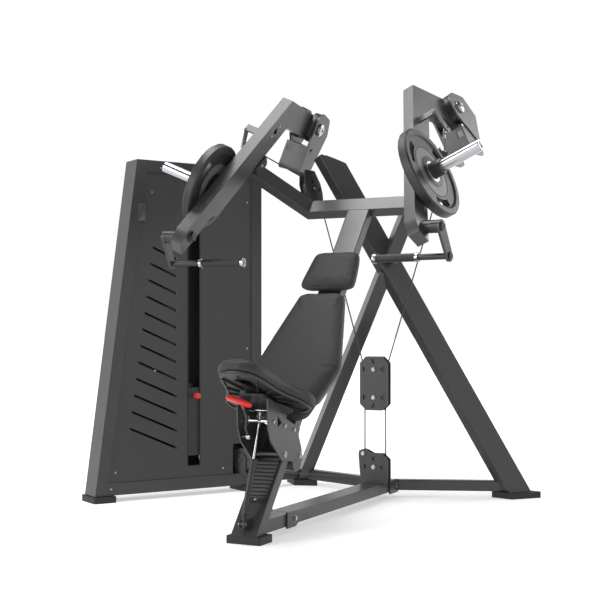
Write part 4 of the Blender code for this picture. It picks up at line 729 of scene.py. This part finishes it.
def welt(name, seam, radius, body):
    """A thin sewn cord that lies in a seam."""
    points = [spot + normal * radius * 0.25 - OFFSET for spot, normal in seam]
    for _ in range(3):
        points = [(points[k - 1] + points[k] * 2 + points[(k + 1) % len(points)]) / 4
                  for k in range(len(points))]
    shape = bmesh.new()
    rings = []
    for k, point in enumerate(points):
        along = (points[(k + 1) % len(points)] - points[k - 1]).normalized()
        side = seam[k][1]
        side = (side - along * side.dot(along)).normalized()
        rings.append(circle(shape, point, side, along.cross(side), radius, 8))
    for low, high in zip(rings, rings[1:] + rings[:1]):
        bridge(shape, low, high)
    piece(name, shape, THREAD, body, "upholstery", 80)


def cushion(name, node, side, levels, place, up, body, limit, band):
    """A padded cover over its CAD solid; band holds the levels of its side panel, sewn on at the top."""
    outline = smooth_side(side)
    shape = bmesh.new()
    loft(shape, [pad_ring(outline, level, squeeze, place) for level, squeeze in levels])
    made = piece(name, shape, VINYL, angle=80)
    floor = (place(outline[0][0], 0, levels[0][0]) + OFFSET).dot(up)
    inflate(made, up, floor, limit)
    seam = sew(made, pad_ring(outline, band[1], 0.006, place), 0.0016, 0.0045)
    smooth(made.data, 80)
    made.data.materials.clear()
    made.data.materials.append(VINYL)
    made.data.materials.append(SIDE_VINYL)
    for face in made.data.polygons:
        level = face.center.dot(up) - floor + levels[0][0]
        face.material_index = 1 if band[0] < level < band[1] and abs(face.normal.dot(up)) < 0.8 else 0
    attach(made, body)
    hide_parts(node)
    welt(name + "_welt_1", seam, 0.0013, body)


def build_cushions():
    pad = [(0.0075, 0.014), (0.014, 0.005), (0.024, 0.002), (0.044, 0.003), (0.054, 0.009), (0.059, 0.022),
           (0.061, 0.045), (0.062, 0.075)]
    cushion("seat_pad", "seat_cushion", SEAT_SIDE, pad, seat_place, SEAT_UP, "seat", 0.007,
            (0.010, 0.0505))
    pad = [(0.0155, 0.016), (0.022, 0.006), (0.032, 0.003), (0.046, 0.003), (0.056, 0.010), (0.061, 0.024),
           (0.063, 0.046), (0.064, 0.080)]
    cushion("back_pad", "backrest_cushion", BACK_SIDE, pad, back_place, SPINE_OUT, "base", 0.007,
            (0.010, 0.0525))
    pad = [(0.0055, 0.018), (0.014, 0.008), (0.024, 0.003), (0.038, 0.003), (0.049, 0.010), (0.055, 0.024),
           (0.058, 0.044)]
    cushion("head_pad", "headrest", HEAD_SIDE, pad, back_place, SPINE_OUT, "base", 0.006,
            (0.008, 0.0455))


def build_seat_pan():
    """The moulded pan under the seat: a rimmed tray with ribs that fan out from the carriage."""
    outline = smooth_side(SEAT_SIDE, 36)
    shape = bmesh.new()
    levels = [(0.0052, 0.012), (-0.001, 0.013), (-0.004, 0.016), (-0.004, 0.022), (0.0012, 0.024),
              (0.0012, 0.060), (0.0012, 0.085)]
    loft(shape, [pad_ring(outline, level, squeeze, seat_place) for level, squeeze in levels])
    pan = piece("seat_pan", shape, PLASTIC, "seat", angle=40)
    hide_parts("seat_shell")
    shape = bmesh.new()
    centre, near, far = Vector((0.235, 0)), 0.072, 0.300
    for angle in (24, 52, 80, 108, 136, 164):
        for sign in (1, -1):
            way = Vector((-math.cos(math.radians(angle)), sign * math.sin(math.radians(angle))))
            start, end = centre + way * near, centre + way * far
            for k in range(40):
                spot = centre + way * (far - 0.006 * k)
                if inside_pan(spot, outline):
                    end = spot
                    break
            along = SEAT_BACK * way.x + RIGHT * way.y
            across = SEAT_UP.cross(along)
            length = (end - start).length
            middle = seat_place(start.x, start.y, 0.0012)
            prism(shape, [(0, -0.0018), (length, -0.0018), (length, 0.0018), (0, 0.0018)], middle, along,
                  across, -0.0085, 0.0004, 0.0006)
    piece("seat_pan_ribs", shape, PLASTIC, "seat", angle=40)


def inside_pan(spot, outline):
    """Whether a point lies well inside the pan's rim."""
    scale = 0.86
    middle = (outline[0][0] + outline[-1][0]) / 2
    along = middle + (spot.x - middle) / scale
    if not outline[0][0] < along < outline[-1][0]:
        return False
    for (a0, b0), (a1, b1) in zip(outline, outline[1:]):
        if a0 <= along <= a1 and a1 > a0:
            return abs(spot.y) / scale < b0 + (b1 - b0) * (along - a0) / (a1 - a0)
    return False


# ---- cables -----------------------------------------------------------------------------------
def arc_points(centre, start, end, normal, steps):
    first, second = start - centre, end - centre
    angle = first.angle(second)
    if first.cross(second).dot(normal) < 0:
        angle = math.tau - angle
    return [centre + Matrix.Rotation(angle * k / steps, 3, normal) @ first for k in range(steps + 1)]


def touch(centre, radius, outside, axis, hint):
    """Where a line from an outside point touches a wheel, on the hinted side."""
    reach = outside - centre
    reach = reach - axis * reach.dot(axis)
    angle = math.acos(radius / reach.length)
    options = [centre + Matrix.Rotation(sign * angle, 3, axis) @ (reach.normalized() * radius)
               for sign in (1, -1)]
    return max(options, key=lambda spot: (spot - centre).dot(hint))


def wrap(centre, start, end, axis, steps):
    turn = axis if (start - centre).cross(end - centre).dot(axis) > 0 else -axis
    return arc_points(centre, start, end, turn, steps)


def straight(start, end, steps):
    return [start.lerp(end, k / steps) for k in range(steps + 1)]


def guide_axis(side):
    centre = flip(GUIDE, side)
    pull = pull_point(side)
    down = Vector((side * REACH, BLOCK_Y, BLOCK_Z + BLOCK_SPREAD))
    return (pull - centre).cross(down - centre).normalized()


def cable_piece(node, part, points, *bodies):
    """One stretch of a cable: it rides on one body, or runs from one body's end to another's."""
    shape = bmesh.new()
    tube(shape, points, CABLE / 2, 12)
    made = piece(node + "_" + part, shape, CORD, bodies[0] if len(bodies) == 1 else None, angle=60)
    if len(bodies) == 2:
        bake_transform(made)
    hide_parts(node)


def build_press_cable():
    loop = Vector((0, BLOCK_Y, BLOCK_Z + BLOCK_SPREAD))
    feet = []
    for side_name, side in SIDES:
        centre, axis = flip(GUIDE, side), guide_axis(side)
        pull = pull_point(side)
        start = pull + (centre - pull).normalized() * 0.0412
        on_guide = touch(centre, GUIDE_REACH, start, axis, UP + RIGHT * side * 0.2)
        off_guide = touch(centre, GUIDE_REACH, loop + RIGHT * side * REACH, axis, Vector((side, 1, 0)))
        on_block = touch(loop, REACH, off_guide, FORWARD, RIGHT * side)
        arm = "arm_" + side_name
        cable_piece("press_cable", arm, straight(start, on_guide, 16), arm, "base")
        cable_piece("press_cable", "guide_" + side_name, wrap(centre, on_guide, off_guide, axis, 12), "base")
        cable_piece("press_cable", "drop_" + side_name, straight(off_guide, on_block, 24), "base", "block")
        feet.append(on_block)
        way = (centre - pull).normalized()
        shape = bmesh.new()
        sleeve = [(0, 0.036), (0.0070, 0.036), (0.0074, 0.038), (0.0074, 0.050), (0.0062, 0.052),
                  (0.0050, 0.053), (0.0048, 0.076), (0.0040, 0.079), (0.0033, 0.080), (0, 0.080)]
        lathe(shape, sleeve, pull, way, 24, hex_radius((1, 2, 3, 4)))
        lathe(shape, [(0, -0.012), (0.006, -0.012), (0.0072, -0.010), (0.0072, -0.0101), (0.0045, -0.0100),
                      (0.0045, 0.0100), (0.0072, 0.0101), (0.0072, 0.010), (0.006, 0.012), (0, 0.012)],
              pull + way * 0.022, arm_along(side), 20)
        piece("cable_fork_" + side_name, shape, CHROME, arm)
    cable_piece("press_cable", "loop", arc_points(loop, *feet, -FORWARD, 24), "block")


def build_stack_cable():
    upper, lower = Vector((0, BLOCK_Y, BLOCK_Z - BLOCK_SPREAD)), Vector((0, BLOCK_Y, LOW_PULLEY_Z))
    back = -FORWARD
    anchor = lower + Vector((-REACH, 0, 0.0678))
    left, right = -RIGHT * REACH, RIGHT * REACH
    cable_piece("stack_cable", "anchor", straight(anchor, upper + left, 16), "base", "block")
    cable_piece("stack_cable", "loop", arc_points(upper, upper + left, upper + right, back, 24), "block")
    cable_piece("stack_cable", "drop", straight(upper + right, lower + right, 16), "block", "base")
    bottom = lower - UP * REACH
    low, rise = TOWER_PULLEY - UP * REACH, TOWER_PULLEY + left
    route = arc_points(lower, lower + right, bottom, back, 12) + straight(bottom, low, 12)[1:]
    route += arc_points(TOWER_PULLEY, low, rise, back, 12)[1:]
    first = tower_point(TOWER_T - REACH, TOWER_DEPTH, ROOF_PULLEY_Z)
    second = tower_point(STACK_T + REACH, TOWER_DEPTH, ROOF_PULLEY_Z)
    reach, up = TOWER_ALONG * REACH, UP * REACH
    route += straight(rise, first + reach, 12)[1:]
    route += wrap(first, first + reach, first + up, TOWER_BACK, 12)[1:]
    route += wrap(second, second + up, second - reach, TOWER_BACK, 12)
    cable_piece("stack_cable", "run", route, "base")
    end = tower_point(STACK_T, TOWER_DEPTH, STACK_TOP + 0.0206)
    cable_piece("stack_cable", "stack", straight(second - reach, end, 24), "base", "stack")


# ---- fasteners and trim -----------------------------------------------------------------------
def build_lever_grip():
    """The thick rounded grip moulded over the release lever's cross bar."""
    start, end = LEVER_GRIP
    along = (end - start).normalized()
    across = along.cross(SEAT_UP).normalized()
    rise = across.cross(along)
    shape = bmesh.new()
    half, deep, tall = (end - start).length / 2 + 0.004, 0.0135, 0.0085
    outline = [(-half, -tall * 0.6), (-half + 0.008, -tall), (half - 0.008, -tall), (half, -tall * 0.6),
               (half, tall * 0.6), (half - 0.012, tall), (0, tall * 1.25), (-half + 0.012, tall),
               (-half, tall * 0.6)]
    prism(shape, outline, (start + end) / 2, along, rise, -deep, deep, 0.0035)
    piece("lever_grip", shape, RED, "lever", angle=60)


def ends(centres, axis, reach, radius, height):
    """Fasteners at both ends of the axles through some centres."""
    return [(centre + axis * (sign * reach), axis * sign, radius, height)
            for centre in centres for sign in (1, -1)]


def build_arm_details():
    for side_name, side in SIDES:
        hub, axis = flip(ARM_HUB, side), arm_axes(side)[0]
        grouped("pivot_bolts_" + side_name, dome_bolt, ends([hub], axis, 0.0702, 0.0298, 0.0085), CHROME,
                "base")
        boss, foot, swing = handle_line(side)
        grouped("link_bolt_" + side_name, dome_bolt, [(boss + swing * 0.0672, swing, 0.0200, 0.005)],
                PLASTIC, "arm_" + side_name)
        grouped("grip_bolt_" + side_name, dome_bolt, [(foot + swing * 0.0667, swing, 0.0170, 0.004)],
                PLASTIC, "handle_" + side_name)
        grouped("grip_end_bolt_" + side_name, socket_bolt, [(foot - swing * 0.2781, -swing, 0.0080, 0.003)],
                STEEL, "handle_" + side_name)

        # rolled lips and a steel hub ring on the plate's outer face
        spot = arm_point(side, HORN_SPOT.x, HORN_SPOT.y)
        face = PLATE_LOW + PLATE_THICK
        shape = bmesh.new()
        for inner, outer, low in ((0.1100, 0.1130, face - 0.0071), (0.0640, 0.0665, face - 0.0029)):
            top = low + 0.0011
            ring = [(inner, low), (inner + 0.0004, top), (outer - 0.0004, top), (outer, low), (inner, low)]
            lathe(shape, ring, spot, axis, 96)
        piece("plate_lips_" + side_name, shape, RUBBER, "plate_" + side_name)
        shape = bmesh.new()
        ring = [(0.0345, face - 0.0030), (0.0345, face - 0.0012), (0.0355, face - 0.0006),
                (0.0455, face - 0.0006), (0.0470, face - 0.0016), (0.0470, face - 0.0030),
                (0.0345, face - 0.0030)]
        lathe(shape, ring, spot, axis, 72)
        piece("plate_hub_ring_" + side_name, shape, STEEL, "plate_" + side_name)

        # screws beside the star-shaped hole in the arm's inner face
        hole = arm_point(side, 0.395, -0.070, -ARM_HALF - 0.0001)
        spots = [(hole + arm_along(side) * reach, -axis, 0.0055, 0.003) for reach in (-0.034, 0.034)]
        grouped("arm_screws_" + side_name, cap_screw, spots, STEEL, "arm_" + side_name)


def build_bolts():
    rise = UP * BLOCK_SPREAD
    middle = Vector((0, BLOCK_Y, BLOCK_Z))
    spots = ends((middle + rise, middle - rise), FORWARD, BLOCK_FACE, 0.0100, 0.0055)
    grouped("block_bolts", hex_bolt, spots, CHROME, "block")
    low = Vector((0, BLOCK_Y, LOW_PULLEY_Z))
    spots = ends((low, low + ANCHOR_PIN), FORWARD, BLOCK_FACE, 0.0100, 0.0055)
    for side in (1, -1):
        spots += ends([flip(GUIDE, side)], guide_axis(side), 0.0252, 0.0095, 0.0050)
    for y, face in ((0.318, 0.0586), (1.397, 0.0578)):
        spots += ends([Vector((0, y, 0.056))], RIGHT, face, 0.0110, 0.0060)
    spots += ends([GAS_LOW], RIGHT, 0.0131, 0.0065, 0.0045)
    grouped("frame_bolts", hex_bolt, spots, CHROME, "base")

    spots = []
    for side_name, side in SIDES:
        low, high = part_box("arm_stop_" + side_name)
        spot, normal = surface_spot("arm_stop_" + side_name, (low + high) / 2, -arm_axes(side)[0])
        spots.append((spot, normal, 0.0075, 0.0030))
    grouped("stop_screws", cap_screw, spots, STEEL, "base")

    rollers = ends((Vector((0, 0.210, 0.316)), Vector((0, 0.341, 0.299))), RIGHT, CHEEK_FACE, 0.0120, 0.0065)
    grouped("carriage_roller_bolts", socket_bolt, rollers, CHROME, "seat")
    spots = ends((Vector((0, 0.210, 0.427)), Vector((0, 0.289, 0.404))), RIGHT, CHEEK_FACE, 0.0085, 0.0050)
    spots += ends([CARRIAGE_BAR], RIGHT, CHEEK_FACE, 0.0075, 0.0045)
    for along, across in ((0.190, 0.036), (0.190, -0.036), (0.320, 0.088), (0.320, -0.088)):
        spots.append((seat_place(along, across, 0.0123), -SEAT_UP, 0.0070, 0.0045))
    grouped("carriage_bolts", star_bolt, spots, CHROME, "seat")

    spots = [(spine_point(0.1535, 0.0031), SPINE_OUT, 0.0060, 0.0030)]
    spots += [(spine_point(0.4205, 0.0031, across), SPINE_OUT, 0.0045, 0.0020) for across in (0.030, -0.030)]
    grouped("spine_screws", cap_screw, spots, CHROME, "base")


def build_tower_details():
    face = -0.0001
    spots = [(tower_point(t, face, z), -TOWER_BACK, 0.0048, 0.0022)
             for t, z in ((0.363, 1.552), (0.112, 0.060), (0.862, 0.060), (0.862, 1.552), (0.600, 1.552))]
    inner = 0.0038
    spots += [(tower_point(t, inner, z), -TOWER_BACK, 0.0048, 0.0022)
              for t, z in ((0.320, 1.435), (0.135, 0.135), (0.835, 1.416), (0.335, 0.600), (0.835, 0.700),
                           (0.700, 0.120))]
    grouped("tower_screws", cap_screw, spots, STEEL, "base")

    # plain badge on the frame's upper corner
    left, low, wide, tall = 0.2475, 1.299, 0.036, 0.080
    shape = bmesh.new()
    centre = tower_point(left + wide / 2, -0.0002, low + tall / 2)
    outline = [(-wide / 2, -tall / 2), (wide / 2, -tall / 2), (wide / 2, tall / 2), (-wide / 2, tall / 2)]
    prism(shape, outline, centre, TOWER_ALONG, UP, 0, 0.0016, 0.0005)
    inset = 0.006
    outline = [(x - math.copysign(inset, x), y - math.copysign(inset, y)) for x, y in outline]
    prism(shape, outline, centre - TOWER_BACK * 0.0016, TOWER_ALONG, UP, 0, 0.0007, 0.0003)
    piece("tower_badge", shape, BADGE, "base", "panel_paint")

    # rubber edging round the plate slot
    shape = bmesh.new()
    left, right, low, high = 0.509, 0.571, 0.145, 1.250
    lip, rise = 0.004, 0.0015
    strips = ((left - lip, low - lip, left, high + lip), (right, low - lip, right + lip, high + lip),
              (left, low - lip, right, low), (left, high, right, high + lip))
    for a0, b0, a1, b1 in strips:
        outline = [(a0, b0), (a1, b0), (a1, b1), (a0, b1)]
        prism(shape, outline, TOWER_CORNER + TOWER_BACK * 0.0039, TOWER_ALONG, UP, 0, rise, 0.0004)
    piece("plate_slot_edging", shape, RUBBER, "base", "rubber")

    # the row of pin holes down the front of the stack
    for name, body, low, rows in (("stack_holes_resting", "base", 0.190, range(11)),
                                  ("stack_holes_lifted", "stack", STACK_TOP - 0.050, (1,))):
        shape = bmesh.new()
        for k in rows:
            centre = tower_point(STACK_T, 0.0119, low + (k + 0.5) * PLATE_PITCH)
            ring = [(0.0050, 0.0), (0.0050, 0.0008), (0.0072, 0.0008), (0.0078, 0.0), (0.0050, 0.0)]
            lathe(shape, ring, centre, -TOWER_BACK, 24)
        piece(name, shape, IRON, body)


# ---- studio -----------------------------------------------------------------------------------
def floor_material():
    """A pale floor that glows, dimly near the machine and more with distance until it meets the white
    backdrop; this glow is painted light, which also fades the shadows cast on the floor.
    """
    made = surface("studio_floor", (0.80, 0.80, 0.80), 0.85, mottle=0.01, mottle_size=1.5, grain_size=0.02,
                   grain_depth=0.01, Emission_Color=(1, 1, 1, 1))
    tree = made.node_tree
    place = tree.nodes.new("ShaderNodeTexCoord")
    reach = add_node(tree, "ShaderNodeVectorMath", {"operation": 'LENGTH'}, {0: place.outputs["Object"]})
    # painted light: the floor's own glow, stronger with distance from the middle
    floor_glow = add_node(tree, "ShaderNodeMapRange", {"interpolation_type": 'SMOOTHSTEP'},
                    {"From Min": 1.2, "From Max": 5.0, "To Min": 0.42, "To Max": 1.0,
                     "Value": reach.outputs["Value"]})
    tree.links.new(floor_glow.outputs["Result"], tree.nodes["Principled BSDF"].inputs["Emission Strength"])
    return made


SKY_LOW, SKY_HIGH = (1, 1, 1, 1), (0.16, 0.16, 0.17, 1)
FLOOR_REACH = 80
LIGHT_AIM = Vector((0, 0, 0.8))
LIGHTS = (("key", (-2.6, -4.4, 2.3), 2.2, 105), ("fill", (3.6, -2.4, 1.8), 2.4, 10),
          ("rim", (2.6, 3.4, 2.6), 1.8, 40), ("top", (-0.5, -0.2, 4.0), 2.0, 110))


def build_studio():
    scene = bpy.context.scene
    camera = bpy.data.objects.new("camera", bpy.data.cameras.new("camera"))
    scene.collection.objects.link(camera)
    camera.location = Vector((2.128, -3.828, 0.80)) + OFFSET
    camera.rotation_euler = (math.radians(90), 0, math.radians(26.3))
    camera.data.lens = 71.1
    camera.data.shift_y = 0.0467
    scene.camera = camera

    floor_mesh = bpy.data.meshes.new("floor")
    corners = [(x * FLOOR_REACH, y * FLOOR_REACH, 0) for x, y in ((-1, -1), (1, -1), (1, 1), (-1, 1))]
    floor_mesh.from_pydata(corners, [], [(0, 1, 2, 3)])
    floor = bpy.data.objects.new("floor", floor_mesh)
    scene.collection.objects.link(floor)
    floor_mesh.materials.append(floor_material())

    build_sky(scene)
    for name, place, size, power in LIGHTS:
        light = bpy.data.lights.new(name, 'AREA')
        light.energy = power
        light.size = size
        lamp = bpy.data.objects.new(name, light)
        scene.collection.objects.link(lamp)
        lamp.location = place
        lamp.rotation_euler = (LIGHT_AIM - Vector(place)).to_track_quat('-Z', 'Y').to_euler()
    scene.view_settings.view_transform = 'Standard'
    scene.view_settings.look = 'None'


def build_sky(scene):
    """White at the horizon and grey overhead, so that metal has something to reflect."""
    world = bpy.data.worlds.new("studio")
    scene.world = world
    world.use_nodes = True
    tree = world.node_tree
    place = tree.nodes.new("ShaderNodeTexCoord")
    split = add_node(tree, "ShaderNodeSeparateXYZ", {}, {"Vector": place.outputs["Generated"]})
    tones = add_node(tree, "ShaderNodeValToRGB", {}, {"Fac": split.outputs["Z"]})
    for stop, position, colour in zip(tones.color_ramp.elements, (0.36, 0.66), (SKY_LOW, SKY_HIGH)):
        stop.position = position
        stop.color = colour
    backdrop = tree.nodes["Background"]
    tree.links.new(tones.outputs["Color"], backdrop.inputs["Color"])
    backdrop.inputs["Strength"].default_value = 1.02


build_studio()
finish_cad()
build_press_cable()
build_stack_cable()
build_cushions()
build_seat_pan()
build_lever_grip()
build_arm_details()
build_bolts()
build_tower_details()
